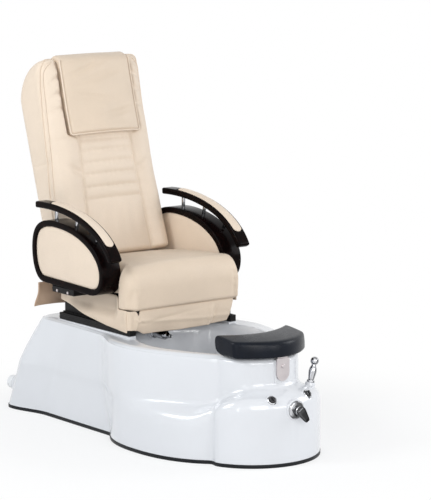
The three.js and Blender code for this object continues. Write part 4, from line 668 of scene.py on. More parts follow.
def lacquer_finish():
    """Near-black gloss lacquer over a red-brown flow of wood figure."""
    color = hardware().lacquer
    material, tree, shader, where, tint = base_finish("Lacquer", color, toned(color, 1.5), 7.0, (0.16, 0.22),
                                                      specular=0.04)
    figure = ranged(tree, grain(tree, where, 22.0, (6.0, 1.0, 4.0)), 0.45, 0.75)
    brown = (color[0] * 4.5, color[1] * 2.6, color[2] * 2.2, 1)
    wire(tree, shader, {"Base Color": blended(tree, figure, tint, brown)})
    bumped(tree, shader, grain(tree, where, 90.0), 0.00012, 0.4)
    return material


def chrome_finish(name, color):
    """Polished plating with painted reflections: dark bands, painted into its colour by the angle it faces, stand in
    for a studio's black cards.
    """
    material, tree, shader, _, tint = base_finish(name, color, toned(color, 0.94), 25.0, (0.07, 0.12), metallic=1.0)
    # Painted reflection: dark and light bands by facing angle, multiplied into the base colour.
    painted_bands = node(tree, "ShaderNodeValToRGB", {"Fac": socket(tree, "ShaderNodeLayerWeight", {"Blend": 0.5}, "Facing")})
    ramp = painted_bands.color_ramp
    for at, level in ((0.12, 1.0), (0.22, 0.16), (0.36, 0.12), (0.5, 0.9), (0.68, 0.25), (0.82, 0.1)):
        ramp.elements.new(at).color = (level, level, level, 1)
    ramp.elements[0].color = (0.75, 0.75, 0.75, 1)
    ramp.elements[-1].color = (0.45, 0.45, 0.45, 1)
    wire(tree, shader, {"Base Color": blended(tree, 1.0, tint, painted_bands.outputs["Color"], "MULTIPLY")})
    return material


FINISHES = {
    "cream": lambda: leather_finish("Cream leather", upholstery().cream, 430.0),
    # Painted shade: the cream leather made darker and warmer for parts that lie in shade.
    "shaded_cream": lambda: leather_finish("Cream leather in painted shade", upholstery().shaded_cream, 430.0),
    # Painted shade: the rear tail's darker, warmer leather stands in for the shade it lies in.
    "tan": lambda: leather_finish("Tail leather in painted shade", upholstery().tan, 380.0),
    "lacquer": lacquer_finish,
    "gelcoat": lambda: plain_finish("Tub gelcoat", hardware().gelcoat, toned(hardware().gelcoat, 0.97),
                                    4.0, (0.16, 0.24), 34.0, 0.0003, coat=0.6, coat_rough=0.04),
    "trim": lambda: plain_finish("Trim rubber", (0.006, 0.007, 0.009), (0.01, 0.011, 0.013), 30.0, (0.36, 0.5),
                                 500.0, 0.0003, specular=0.2),
    "chrome": lambda: chrome_finish("Chrome", hardware().metal),
    "dark_chrome": lambda: chrome_finish("Dark chrome", toned(hardware().metal, 0.16)),
    "steel": lambda: plain_finish("Brushed steel", (0.62, 0.575, 0.58), (0.55, 0.51, 0.52), 30.0, (0.30, 0.42),
                                  40.0, 0.0001, (30, 1, 1), metallic=1.0),
    "foam": lambda: plain_finish("Footrest skin", hardware().footrest, toned(hardware().footrest, 1.5),
                                 20.0, (0.26, 0.34), 700.0, 0.0002, specular=0.16),
    "black_plastic": lambda: plain_finish("Black plastic", (0.012, 0.012, 0.014), (0.02, 0.02, 0.022), 40.0,
                                          (0.18, 0.28), 500.0, 0.0001),
    "black_paint": lambda: plain_finish("Black paint", (0.005, 0.005, 0.006), (0.009, 0.0085, 0.008), 18.0,
                                        (0.34, 0.46), 260.0, 0.0002, specular=0.15),
    "white_plastic": lambda: plain_finish("White plastic", (0.78, 0.79, 0.80), (0.74, 0.75, 0.76), 20.0, (0.28, 0.38),
                                          400.0, 0.0001),
    "pump": lambda: plain_finish("Pump housing", (0.09, 0.10, 0.105), (0.12, 0.125, 0.13), 14.0, (0.45, 0.6),
                                 220.0, 0.0003),
}
MADE_FINISHES = {}


def finish_of(name):
    if name not in MADE_FINISHES:
        MADE_FINISHES[name] = FINISHES[name]()
    return MADE_FINISHES[name]


# ---- tub ---------------------------------------------------------------------------
def super_half(half, distance, length, power):
    """Half width of a superellipse at a distance from its middle."""
    share = np.minimum(np.abs(distance) / length, 1)
    return half * (1 - share ** power) ** (1 / power)


def smooth_top(a, b, blend):
    """The larger of two widths, with a soft change from one to the other."""
    near = np.clip(blend - np.abs(a - b), 0, None)
    return np.maximum(a, b) + near * near / (4 * blend)


def nose_half(y, radius):
    return np.sqrt(np.maximum(radius ** 2 - (y - NOSE_Y) ** 2, 0))


def skirt_half(y, soft):
    """Half width at the floor: the bowl, the nose drawn in over the toe, and the body behind."""
    bowl = super_half(SKIRT_BOWL_HALF, y - SKIRT_BOWL_Y, np.where(y < SKIRT_BOWL_Y, 415.0, 370.0), 2.3)
    nose = nose_half(y, SKIRT_NOSE) - 16 * bell(y, -488, 24)
    return smooth_top(np.maximum(bowl, nose), np.where(y > WALL_BOWL_Y, SKIRT_BODY_HALF, 0.0), soft)


def wall_half(y):
    """Half width of the upper wall, in the same three parts."""
    ahead, distance = y < WALL_BOWL_Y, y - WALL_BOWL_Y
    bowl = np.where(ahead, super_half(WALL_BOWL_HALF, distance, 500.0, 1.6),
                    super_half(WALL_BOWL_HALF, distance, 330.0, 2.0))
    return smooth_top(np.maximum(bowl, nose_half(y, WALL_NOSE)), np.where(ahead, 0.0, WALL_BODY_HALF), 40.0)


def tub_outline(blend, rear_y, flare=40.0, soft=9.0):
    """The tub's plan outline from the nose round by the left side, counter-clockwise, closed."""
    def half_at(skirt_y, wall_y):
        return mix(skirt_half(skirt_y, soft), wall_half(wall_y), blend)

    def steps(start, end, count):
        return np.linspace(start, end, count * OUTLINE_STEPS + 1)[1:]

    reach = np.cos(arc(0, 86, 10 * OUTLINE_STEPS + 1))
    skirt_y, wall_y = NOSE_Y - SKIRT_NOSE * reach, NOSE_Y - WALL_NOSE * reach
    nose = [half_at(skirt_y, wall_y), mix(skirt_y, wall_y, blend)]
    y = steps(NOSE_Y - 20, BODY_START_Y, 13)
    bowl = [half_at(y, y), y]
    corner_y = rear_y - REAR_CORNER
    y = steps(BODY_START_Y, corner_y, 13)
    width = mix(SKIRT_BODY_HALF, WALL_BODY_HALF, blend)
    body = [np.maximum(width, half_at(y, y)) + flare * ease(y, corner_y - 200.0, corner_y), y]
    turn = np.radians(steps(0, 90, 3))
    corner_x = width + flare - REAR_CORNER
    corner = [corner_x + REAR_CORNER * np.cos(turn), corner_y + REAR_CORNER * np.sin(turn)]
    across = steps(corner_x, 0, 2)
    half = np.hstack([nose, bowl, body, corner, [across, np.full_like(across, rear_y)]]).T
    return np.vstack([half, half[1:-1][::-1] * [-1, 1]])


def tub_ring(z, blend, ledge, rim, shrink):
    """One level of the moulding; behind the bowl the ledge runs lower, and the rear leans in and flares."""
    behind = z - LEDGE_DROP * ledge
    rear = TUB_REAR_Y - REAR_LEAN * behind - REAR_BEND * behind ** 3
    flare = REAR_FLARE * (1 - ease(behind, 170.0, 430.0))
    outline = drawn_in(tub_outline(blend, rear, flare, 9 + 50 * ease(behind, 30.0, 130.0)), shrink)
    y = outline[:, 1]
    front = ease(-y, 390.0, 600.0)
    return np.column_stack([outline, z - LEDGE_DROP * ledge * (1 - front) + rim * TILT * y])


def egg_points(angles, shrink):
    """Points of the basin's egg outline at the given plan angles, seen from its centre."""
    turn = np.linspace(-np.pi, np.pi, 1441)
    side, along = np.cos(turn), np.sin(turn)
    power = np.where(along < 0, 2 / 1.42, 1.0)
    x = np.sign(side) * np.abs(side) ** power * (BASIN_HALF - shrink)
    y = np.sign(along) * np.abs(along) ** power * (np.where(along < 0, BASIN_AHEAD, BASIN_BEHIND) - shrink)
    seen = np.arctan2(y, x)
    order = np.argsort(seen)
    return np.stack([np.interp(angles, seen[order], v[order], period=2 * np.pi) for v in (x, y)], 1) + [0, BASIN_Y]


def tub_shape():
    """The moulding's skin: up the outside, over the rim, across the deck and down into the basin."""
    rings = [tub_ring(*row) for row in catmull(TUB_LEVELS, 4)]
    rim = rings[-1]
    angles = np.arctan2(rim[:, 1] - BASIN_Y, rim[:, 0])
    for share in (0.04, 0.16, 0.32, 0.5, 0.68, 0.84, 0.96, 1.0):
        deck = mix(rim[:, :2], egg_points(angles, BASIN_LIP), share)
        rings.append(np.column_stack([deck, RIM_Z + TILT * deck[:, 1]]))
    for z, shrink in BASIN_LEVELS:
        ring = egg_points(angles, shrink)
        rings.append(np.column_stack([ring, z + ease(z, 300.0, 396.0) * TILT * ring[:, 1]]))
    return skin(rings, "foot")


def smooth_block(low, high, radius, steps=(6, 6, 6)):
    edge = (radius, radius, radius)
    return moved(lattice(*steps), lambda a, b, c: rounded(a, b, c, low, high, edge, edge))


def knob_axis(side):
    return (side * 0.2, -math.cos(KNOB_LEAN), math.sin(KNOB_LEAN))


def boss(radius, depth, at, axis):
    """A raised round seat on the moulding, ending at its point."""
    return turned([(0, -depth), (radius + 2, -depth), (radius, 0), (0, 0)], at, axis, 3.0, 48)


def tub_bosses():
    """The raised seats for the fittings, the footrest's plate and the slide rails."""
    yield boss(40, 12, MIXER, FORWARD)
    yield boss(38, 24, OUTLET_AT, BACK)
    yield boss(25, 26, SPOUT_AT, FORWARD)
    yield boss(19, 22, SHOWER_AT, SHOWER_AXIS)
    yield smooth_block((-34, PLATE_Y, 301), (34, PLATE_Y + 22, 392), 5.0)
    for side in SIDES.values():
        yield boss(24, 12, on_side(KNOB_AT, side), knob_axis(side))
        yield boss(41, 20, on_side(JET_AT, side), (-side, 0, 0))
        x = side * RAIL_BED_X
        yield smooth_block((x - 18, 1, 396), (x + 18, 484, 412), 2.5, (4, 40, 3))


class CHAIR_OT_tub(bpy.types.Operator):
    """Make the moulded tub and its edging band"""

    bl_idname = "spa_chair.tub"
    bl_label = "Tub"

    def execute(self, context):
        shell = tub_shape()
        bmesh.ops.recalc_face_normals(shell, faces=shell.faces)
        bmesh.ops.solidify(shell, geom=shell.faces[:], thickness=TUB_WALL * MM)
        for other in tub_bosses():
            together(shell, other)
        made(shell, "moulded_tub", "base", "gelcoat", "gelcoat", ["tub_shell", "basin_bowl"], sharp=45)
        outline = tub_outline(0.0, TUB_REAR_Y)
        rings = [np.insert(drawn_in(outline, inward), 2, z, axis=1) for inward, z in BAND_SECTION]
        made(skin(rings, "joined"), "edging_band", "base", "trim_rubber", "trim", ["base_trim"], sharp=50)
        return {"FINISHED"}


# ---- fittings ----------------------------------------------------------------------
def mixer_lever():
    """A flat blade that leans down from the mixer's hub, with its own bevelled edges."""
    lean, knots = math.radians(32), [-16, -11, 4, 36, 47]

    def rule(a, b, c):
        z = mix(knots[0], knots[-1], c)
        half, front, back = (np.interp(z, knots, widths) for widths in
                             ([11, 17, 19, 12, 9], [6, 11, 14, 18, 18], [0, 0, 0, 6, 9]))
        across, out, down = rounded(a, b, c, (-1, 0, 0), (1, 1, 1), (0.35, 0.0, 0.06), (0.35, 0.45, 0.04)).T
        x, y, z = across * half, mix(back, front, out), mix(knots[0], knots[-1], down)
        return np.column_stack([x * math.cos(lean) + z * math.sin(lean), MIXER[1] - 24.6 - y,
                                MIXER[2] + x * math.sin(lean) - z * math.cos(lean)])

    return moved(lattice(10, 6, 30), rule)


def knob_ridge(side):
    """The ridge across a knob's face."""
    turn = np.array(turn_to(knob_axis(side)))

    def rule(a, b, c):
        return rounded(a, b, c, (-2.2, -10, 9), (2.2, 10, 16), (1, 3, 0), (1, 3, 1)) @ turn.T + on_side(KNOB_AT, side)

    return moved(lattice(4, 14, 4), rule)


def fitting(name, replaces, profile, at, axis, radius=0.8, body="base", finish="chrome", sharp=40):
    """A turned fitting in the named finish."""
    return made(turned(profile, at, axis, radius), name, body, finish, finish, [replaces], sharp=sharp)


class CHAIR_OT_fittings(bpy.types.Operator):
    """Make the taps, knobs, hand shower, spout, drain, jets and waste outlet"""

    bl_idname = "spa_chair.fittings"
    bl_label = "Fittings"

    def execute(self, context):
        plate = [(0, -30), (7, -30), (7, 0.3), (35, 0.3), (35, 3), (31, 7), (20, 9), (0, 9)]
        fitting("mixer_cover", "mixer_plate", plate, MIXER, FORWARD, 1.2)
        hub = [(0, 9.6), (18, 9.6), (18, 21), (15, 24), (0, 24)]
        fitting("mixer_body", "mixer_hub", hub, MIXER, FORWARD, 1.5, body="mixer_head")
        made(mixer_lever(), "mixer_blade", "mixer_handle", "chrome", "dark_chrome", ["mixer_lever"], 1)
        cup = [(8.6, 0.3), (15, 0.3), (15, 5), (13, 9), (8.6, 9), (8.6, 0.3)]
        fitting("shower_rest", "shower_cup", cup, SHOWER_AT, SHOWER_AXIS)
        grip = [(0, -18), (8, -18), (8, 9.3), (11, 9.3), (12, 17), (13, 24), (15, 36), (15.2, 44), (13.6, 54),
                (9.2, 63), (8.4, 67)]
        ball = [(16 * math.sin(a), 82 - 16 * math.cos(a)) for a in np.linspace(0.6, math.pi, 12)[:-1]]
        fitting("shower_handset", "hand_shower", [*grip, *ball, (0, 98)], SHOWER_AT, SHOWER_AXIS, 1.0,
                body="shower_handset", sharp=50)
        spout = [(0, -30), (7, -30), (7, 0.3), (23, 0.3), (23, 6), (17, 9), (19, 40), (19, 70), (13, 82), (8, 86),
                 (8, 104), (5, 104), (5, 92), (0, 92)]
        fitting("water_spout", "basin_spout", spout, SPOUT_AT, FORWARD, 2.0, sharp=50)
        cap = [(0, -34), (11, -34), (11, 0.6), (24, 0.6), (24, 3), (19, 6), (0, 7)]
        fitting("plug_cap", "drain_stopper", cap, DRAIN_AT, UP, body="stopper")
        pipe = [(22, -60), (27, -60), (27, 0.3), (33, 0.3), (33, 12), (27, 16), (27, 44), (22, 44), (22, -60)]
        fitting("waste_pipe", "drain_outlet", pipe, OUTLET_AT, BACK, 1.2, finish="white_plastic")
        bezel = [(0, -30), (7, -30), (7, 0.3), (19, 0.3), (19, 2), (16, 5), (13.6, 5), (13.6, 2), (0, 2)]
        jet = [(0, -26), (15, -26), (15, 0.3), (36, 0.3), (36, 4), (28, 9), (13, 11), (10, 8), (0, 8)]
        for name, side in SIDES.items():
            at, axis = on_side(KNOB_AT, side), knob_axis(side)
            fitting(f"dial_ring_{name}", f"knob_bezel_{name}", bezel, at, axis)
            dial = turned([(0, 2.6), (13, 2.6), (13, 8), (11, 11), (0, 11)], at, axis)
            made(together(dial, knob_ridge(side)), f"dial_{name}", "air_knob" if name == "right" else "flow_knob",
                 "black_plastic", "black_plastic", [f"control_knob_{name}"], sharp=40)
            fitting(f"jet_disc_{name}", f"jet_cover_{name}", jet, on_side(JET_AT, side), (-side, 0, 0), 1.5,
                    finish="white_plastic")
        return {"FINISHED"}


# ---- footrest ----------------------------------------------------------------------
class CHAIR_OT_footrest(bpy.types.Operator):
    """Make the crescent footrest pad"""

    bl_idname = "spa_chair.footrest"
    bl_label = "Footrest"

    def execute(self, context):
        section = resampled(catmull([*PAD_PROFILE, PAD_PROFILE[0]], 6), 96, closed=True)
        low, high = section.min(0), section.max(0)
        middle, span = (low + high) / 2, high - low
        angle = arc(90, 0, 9)
        end_x, end_shrink = PAD_HALF - PAD_EDGE * (1 - np.sin(angle)), PAD_EDGE * (1 - np.cos(angle))
        flat_x = np.linspace(-end_x[-1], end_x[-1], 45)[1:-1]
        steps = np.r_[-end_x, flat_x, end_x[::-1]]
        shrinks = np.r_[end_shrink, np.zeros(len(flat_x)), end_shrink[::-1]]
        rings = []
        for x, shrink in zip(steps, shrinks):
            depth, height = (middle + (section - middle) * (1 - 2 * shrink / span)).T
            taper = 1 - 0.18 * abs(x / PAD_HALF) ** 2.2
            line = np.column_stack([PAD_AT[0] + 0.0030 * x * x + depth * taper, PAD_AT[1] + height])
            rings.append(upright(line, x))
        pad = made(skin(rings), "footrest_cushion", "footrest", "footrest_skin", "foam", ["footrest_pad"])
        return {"FINISHED"}


# ---- backrest ----------------------------------------------------------------------
def round_off(distance, half, radius):
    """How far a rounded corner falls away at a distance from the middle."""
    past = np.maximum(np.abs(distance) - (half - radius), 0)
    return radius - np.sqrt(np.maximum(radius ** 2 - past ** 2, 0))


def back_top(depth, x):
    """Height of the rounded top, from the front over to the rear."""
    share = np.clip((depth + BACK_CROWN) / (BACK_DEPTH + BACK_CROWN), 0, 1)
    return SHOULDER + (BACK_TOP - SHOULDER) * (1 - share ** 2.5) ** (1 / 2.5) - round_off(x, BACK_HALF, 34)


def back_crown(x, s):
    """How far the front of the back stands forward: a crown that runs out flat towards the shoulder."""
    drop = np.interp(s, [0, 120, 300, 600, 700, CROWN_END], [0.5, 0.8, 1.0, 1.0, 0.8, 0.62])
    full = BACK_CROWN + np.interp(s, [0, 225, 465, CROWN_END], [0, 13, 25, 25])
    return -full * (1 - drop * (x / BACK_HALF) ** 2)


def from_back(x, depth, height):
    """The leaning frame of the back to the drawing frame."""
    cos, sin = math.cos(BACK_LEAN), math.sin(BACK_LEAN)
    return np.column_stack([x, BACK_AT[0] + depth * cos + height * sin, BACK_AT[1] - depth * sin + height * cos])


def seam_half(height):
    """Half distance between the two upright seams of the back."""
    return np.interp(height, [0, 55, 475, CROWN_END], [150, 149, 125, 118])


def quilted(x, s, depth):
    """The field between the upright seams: channels with puckers above, plain leather with slack folds below."""
    gap = np.abs(s[:, None] - np.array(CHANNELS)).min(axis=1)
    roll = depth * (np.sqrt(np.clip(1 - (1 - np.clip(gap / 24.0, 0, 1)) ** 2, 0, 1)) - 1)
    pucker = 1.1 * np.sin(x / 4.4 + 1.3 * np.sin(x / 17)) * np.exp(-gap / 6.0)
    slack = 1.6 * ripple(x / 38.0, s / 30.0, 0.9) * bell(gap, 24, 16)
    lower = -depth * np.exp(-np.abs(s - CHANNELS[0]) / 9.0)
    folds = 2.2 * ripple(x / 8.5, s / 75.0, 0.7) * ease(s, 40, 110) * (1 - ease(s, 195, 222))
    return np.where(s > CHANNELS[0], roll + pucker + slack, lower + folds)


def bolster(x, s):
    """The padded roll beside the field, drawn in by its seam or pressed back by the pillow, with its creases."""
    beside = ease(s, 468, 500)
    start = mix(seam_half(s), PILLOW_HALF + 4.0, beside)
    out = np.maximum(np.abs(x) - start, 0)
    share = np.clip(out / (BACK_HALF - start), 0, 1)
    swell = mix(20.0, 27.0, beside) * np.sin(np.pi * share ** mix(1.2, 0.6, beside))
    tucks = 1.5 * np.sin(s / 6.2 + 1.4 * np.sin(s / 27)) * np.exp(-out / 20.0)
    waves = 3.0 * ripple(s / 34.0, x / 26.0, 2.0) * np.sin(np.pi * share)
    crease = -8.0 * sum(bell(s + lean * out, at, wide) * bell(share, 0.28, 0.34)
                        for at, lean, wide in BOLSTER_CREASES)
    pressed = -9.0 * bell(np.abs(x), PILLOW_HALF + 2, 7) * ease(s, 480, 510)
    return (swell + tucks + waves + crease) * ease(out, 0, 8) + pressed


def back_front_relief(x, s, depth):
    """How far the front of the back comes out past its crown, in millimetres."""
    seam = seam_half(s)
    inside = ease(seam - np.abs(x), -1, 7)
    side = bolster(x, s) * (1 - 0.6 * ease(s, 740, 800))
    trench = -7.0 * bell(np.abs(x), seam, 5.0)
    return inside * quilted(x, s, depth) + (1 - inside) * side + trench


def boxing_relief(t, s):
    """How far the side of the back swells past its board, with the seam that joins its two panels."""
    seam = BOXING_SEAM - 11 * (151 - t) / 95
    low = 3.0 * arch(s / BOXING_SEAM) * (s < seam)
    high = 4.0 * arch((s - BOXING_SEAM) / 300) ** 0.7 * (s >= seam)
    puff = 1.5 * ripple(t / 13.0, s / 16.0, 1.4) * bell(s, seam + 16, 16)
    return low + high + puff - 4.5 * bell(s, seam, 3.6)


def back_rule(channel):
    """The back: a rounded box with its crown and top, then the relief of its front and of its sides."""
    def rule(a, b, c):
        b = np.where(b < 0.5, b * 0.6, 0.3 + (b - 0.5) * 1.4)
        x, t, s = rounded(a, b, c, (-BACK_HALF, -BACK_CROWN, BACK_FOOT), (BACK_HALF, BACK_DEPTH, BACK_TOP),
                          (25, 32, 20), (25, 40, 16)).T
        face = np.clip((78 - t) / (78 + BACK_CROWN), 0, 1)
        height = BACK_FOOT + (s - BACK_FOOT) * (back_top(t, x) - BACK_FOOT) / (BACK_TOP - BACK_FOOT)
        t = t + (BACK_CROWN + back_crown(x, height)) * face
        t = t - ease(face, 0.62, 0.97) * back_front_relief(x, height, channel)
        side = ease(np.abs(x), BACK_HALF - 8, BACK_HALF) * (1 - ease(height, 690, 760))
        x = x + np.sign(x) * (side * arch((t + 10) / 165.0) ** 0.6 * boxing_relief(t, height) - 1.0)
        return from_back(x, t, height)
    return rule


def laid_on(surface, path, lift):
    """Brings every point of a path in drawing millimetres to the surface under it, lifted a little."""
    found = [surface.find_nearest(point)[:2] for point in place(path)]
    laid = [(np.array(spot) + np.array(normal) * lift * MM) / MM - SHIFT for spot, normal in found]
    return resampled(laid, len(laid))


class CHAIR_OT_backrest(bpy.types.Operator):
    """Make the channelled back with its side panels and its piping"""

    bl_idname = "spa_chair.backrest"
    bl_label = "Backrest"

    def execute(self, context):
        shape = moved(lattice(104, 22, 136), back_rule(upholstery().channel_depth / MM))
        bmesh.ops.recalc_face_normals(shape, faces=shape.faces)
        surface = BVHTree.FromBMesh(shape)
        cushion = made(shape, "channelled_back", "backrest", "leather_cream", "cream",
                       ["back_cushion", "back_shell"], 1)
        radius = upholstery().piping / MM
        for name, side in SIDES.items():
            for i, knots in enumerate(PIPING):
                x, t, height = catmull(knots, 12).T
                cord = laid_on(surface, from_back(side * x, t, height), 0.4 * radius)
                made(tube(cord, radius), f"back_piping_{name}_{i + 1}", "backrest", "leather_cream", "cream")
        return {"FINISHED"}


# ---- head pillow -------------------------------------------------------------------
def pillow_path():
    """The line that the pillow lies on, at the middle of the back: up its front, then over the top."""
    front = -BACK_CROWN - PILLOW_STAND
    turn = arc(0, 84, 14)
    bend = np.column_stack([front + 24 - 24 * np.cos(turn), BACK_TOP - 28 + 24 * np.sin(turn)])
    return np.vstack([[(front, PILLOW_BOTTOM), (front, 620.0)], bend, [(22.0, BACK_TOP - 4), (45.0, BACK_TOP - 8)]])


def pillow_rule(a, b, c):
    """The pillow: it thins from its padded part to a sewn flap over the top, with ripples and long creases."""
    path = resampled(pillow_path(), 240)
    length = lengths(path)[-1]
    x, out, at = rounded(a, b, c, (-PILLOW_HALF, 0, 0), (PILLOW_HALF, 1, length), (12, 0, 12), (12, 0.62, 3)).T
    share = np.linspace(0, length, len(path))
    base_depth, base_height = columns_at(at, share, path).T
    run_depth, run_height = columns_at(at, share, unit_rows(np.gradient(path, axis=0))).T
    thick = PILLOW_THICK - 7 * (x / PILLOW_HALF) ** 2
    thick = mix(thick, 20.0, ease(at, 288, 312))
    thick = mix(thick, 5.0, ease(at, 318, 344))
    edge = 1 - (np.abs(x) / PILLOW_HALF) ** 6
    wrinkle = 4.0 * ripple((x + 0.8 * at) / 36.0, (x - 1.1 * at) / 70.0, 1.2)
    wrinkle = wrinkle * ease(at, 8, 50) * (1 - ease(at, 290, 318))
    creases = -6.0 * sum(bell(at - lean * x, where, wide) * bell(x, middle, reach)
                         for where, lean, wide, middle, reach in PILLOW_CREASES)
    proud = out * (thick + (wrinkle + creases) * edge * ease(out, 0.4, 1.0))
    height = base_height + run_depth * proud
    bow = (back_crown(x, np.minimum(height, CROWN_END)) + BACK_CROWN) * (1 - ease(at, 300, 345))
    droop = -round_off(x, BACK_HALF, 20) * ease(at, 200, 300)
    return from_back(x, base_depth - run_height * proud + bow, height + droop)


def pillow_piping():
    """Piping round the free edge of the pillow: down one side, along the bottom and up the other."""
    corner, half, low = 10.0, PILLOW_HALF + 0.5, PILLOW_BOTTOM - 0.5
    turn = arc(0, 90, 8)
    left = np.vstack([[(-half, 792.0), (-half, 640.0)],
                      np.column_stack([corner - half - corner * np.cos(turn), low + corner - corner * np.sin(turn)])])
    x, height = resampled(np.vstack([left, left[::-1] * [-1, 1]]), 170).T
    return from_back(x, back_crown(x, np.minimum(height, CROWN_END)) - PILLOW_STAND - 24.0, height)


class CHAIR_OT_pillow(bpy.types.Operator):
    """Make the head pillow with its piping"""

    bl_idname = "spa_chair.pillow"
    bl_label = "Head pillow"

    def execute(self, context):
        # The pillow wears the darker copy of the cream leather as painted shade.
        cushion = made(moved(lattice(84, 7, 88), pillow_rule), "neck_pillow", "head_pillow", "leather_cream",
                       "shaded_cream", ["pillow"], 1)
        made(tube(pillow_piping(), upholstery().piping / MM + 0.6), "pillow_piping", "head_pillow", "leather_cream",
             "cream")
        return {"FINISHED"}


# ---- seat --------------------------------------------------------------------------
def seat_top(y):
    line = bent([51, 678], [225, 682], [452, 641], np.linspace(0, 1, 60)[:, None])
    return np.interp(y, line[:, 0], line[:, 1])


def seat_rule(a, b, c):
    """The front roll is wide and drops low; the seat behind it is narrower and lies on the pan."""
    along = np.interp(b, np.array([0, 14, 15, 60]) / 60.0, [0, 0.172, 0.182, 1.0])
    side, y, level = rounded(a, along, c, (-1, ROLL_FRONT_Y, 0), (1, SEAT_REAR_Y, 1), (0.17, 64, 0.09),
                             (0.11, 16, 0.52)).T
    level = np.clip(level, 0, 1)
    behind = y > ROLL_REAR_Y
    x = side * np.where(behind, SEAT_HALF, ROLL_HALF)
    bottom = np.where(behind, PAN_BOTTOM, ROLL_BOTTOM)
    z = bottom + (seat_top(y) - bottom) * level
    front = 1 - ease(y, 20, 100)
    belly = front * arch(level)
    crown = 10 * (1 - (x / ROLL_HALF) ** 2) * level
    tuck = 1.4 * ripple(x / 17.0, z / 34.0, 0.4) * belly
    pucker = 2.2 * np.sin(z / 4.6) * bell(np.abs(x), 236, 9) * belly
    dent = 3.5 * bell(np.abs(x), 233, 5) * belly
    folds = 4.5 * np.sin(x / 7.0 + 0.8 * np.sin(z / 26)) * bell(np.abs(x), 254, 22) * front * ease(1 - level, 0.1, 0.7)
    slack = 1.3 * ripple(x / 46.0, y / 40.0, 1.9) * ease(y, 40, 120) * ease(level, 0.6, 1)
    return np.column_stack([x, y - tuck + dent + 0.4 * pucker + folds, z + crown + slack])


def apron_rule(gather):
    """The front drop: it wraps round the right corner to the side panel, and its left edge slants inwards."""
    def rule(a, b, _):
        down = 1 - b
        run = a * DROP_WIDTH - DROP_CORNER
        turn = np.radians(np.clip(-run, 0, DROP_CORNER) / 21.0 * 57.3)
        x = np.where(run < 0, DROP_LEFT - 20.0 * np.sin(turn), DROP_LEFT + run) - 32 * down * ease(a, 0.3, 1.0)
        front = ease(run, -4, 26)
        sag = 8 * arch(a) ** 0.7 * front
        foot = DROP_FOOT - sag + 13 * (1 - ease(run, 18, 50))
        z = mix(DROP_TOP - 20 * bell(run, 22.0, 6.5), foot, down)
        lap = 5.0 * (1 - ease(run, 24 - 14 * down, 31 - 14 * down)) * front
        belly = 6.0 * arch(down) ** 0.8
        broad = gather * (np.sin(a * 9.5 + 1.2 * down + 0.6) + 0.7 * np.sin(a * 21 - 2.0 * down)) * down
        fold = 5.5 * (bell(a, 0.80, 0.022) - bell(a, 0.845, 0.02)) * ease(down, 0.05, 0.5)
        creases = 3.0 * bell(down + 0.55 * a, 0.62, 0.07) * bell(a, 0.35, 0.25) - 3.0 * bell(down - 0.3 * a, 0.42, 0.08)
        y = DROP_FRONT_Y + 20.0 * (1 - np.cos(turn)) - (belly + broad + fold - creases) * front - lap
        return np.column_stack([x, y, z])
    return rule


def flap_rule(a, b, _):
    """The rear tail: a sheet that hangs from the frame and kicks out at its foot."""
    down = 1 - b
    kick = 30 * ease(down, 0.2, 1.0) ** 1.4
    y = TAIL_Y + kick + 2.2 * down * np.sin(a * 31 + 1.2 * np.sin(a * 7))
    return np.column_stack([(a * 2 - 1) * TAIL_HALF, y, mix(TAIL_TOP, TAIL_FOOT + 3 * np.sin(a * 14), down)])


def cloth_made(bm, name, material, slot, replaces):
    """A sheet of leather, given a thickness."""
    piece = made(bm, name, "seat", slot, material, replaces)
    body = piece.modifiers.new("Thickness", "SOLIDIFY")
    body.thickness = CLOTH_THICK * MM
    body.offset = 0.0


def skirt_rule(side):
    """The side panel: flush with the front roll and over the rail at the front, drawn in and higher at the rear."""
    def rule(a, b, c):
        thick, along, up = rounded(a, b, c, (0, 0, 0), (PANEL_THICK, 1, 1), (2.2, 0.012, 0.03),
                                   (2.2, 0.006, 0.03)).T
        y = mix(*PANEL_ENDS, along)
        bottom = np.interp(y, *PANEL_FOOT)
        if side > 0:
            bottom = bottom + 70 * (1 - ease(y, 5, 150))
        z = mix(bottom, np.where(y < 61, 512.5, np.where(y < 258, 558.0, 538.0)), up)
        flare = (1 - ease(y, 262, 470)) * (1 - ease(z, 462, 505) * ease(y, 56, 110))
        waves = 2.2 * ripple(y / 34.0, z / 30.0, side) + 1.8 * np.sin(y / 9.5) * bell(y, 20, 40) * ease(z, 430, 500)
        x = PANEL_INNER_X + PANEL_FLARE * flare + thick + waves * arch(up) * flare
        return np.column_stack([side * x, y, z])
    return rule


class CHAIR_OT_seat(bpy.types.Operator):
    """Make the seat cushion with its front roll, the gathered drop, the side panels and the rear tail"""

    bl_idname = "spa_chair.seat"
    bl_label = "Seat"

    def execute(self, context):
        # The seat, the front drop and the side panels wear the darker copy of the cream leather as painted shade.
        seat = made(moved(lattice(90, 60, 26), seat_rule), "seat_upholstery", "seat", "leather_cream", "shaded_cream",
                    ["seat_cushion"], 1)
        drop = moved(cloth_grid(160, 28), apron_rule(upholstery().gather / MM))
        cloth_made(drop, "gathered_drop", "shaded_cream", "leather_cream", ["front_apron"])
        # The rear tail wears its darker, warmer leather as painted shade.
        tail = moved(cloth_grid(90, 16), flap_rule)
        cloth_made(tail, "rear_tail", "tan", "leather_tan", ["rear_flap"])
        for name, side in SIDES.items():
            panel = made(moved(lattice(4, 70, 16), skirt_rule(side)), f"side_panel_{name}", "seat", "leather_cream",
                         "shaded_cream", [f"seat_skirt_{name}"])
        return {"FINISHED"}


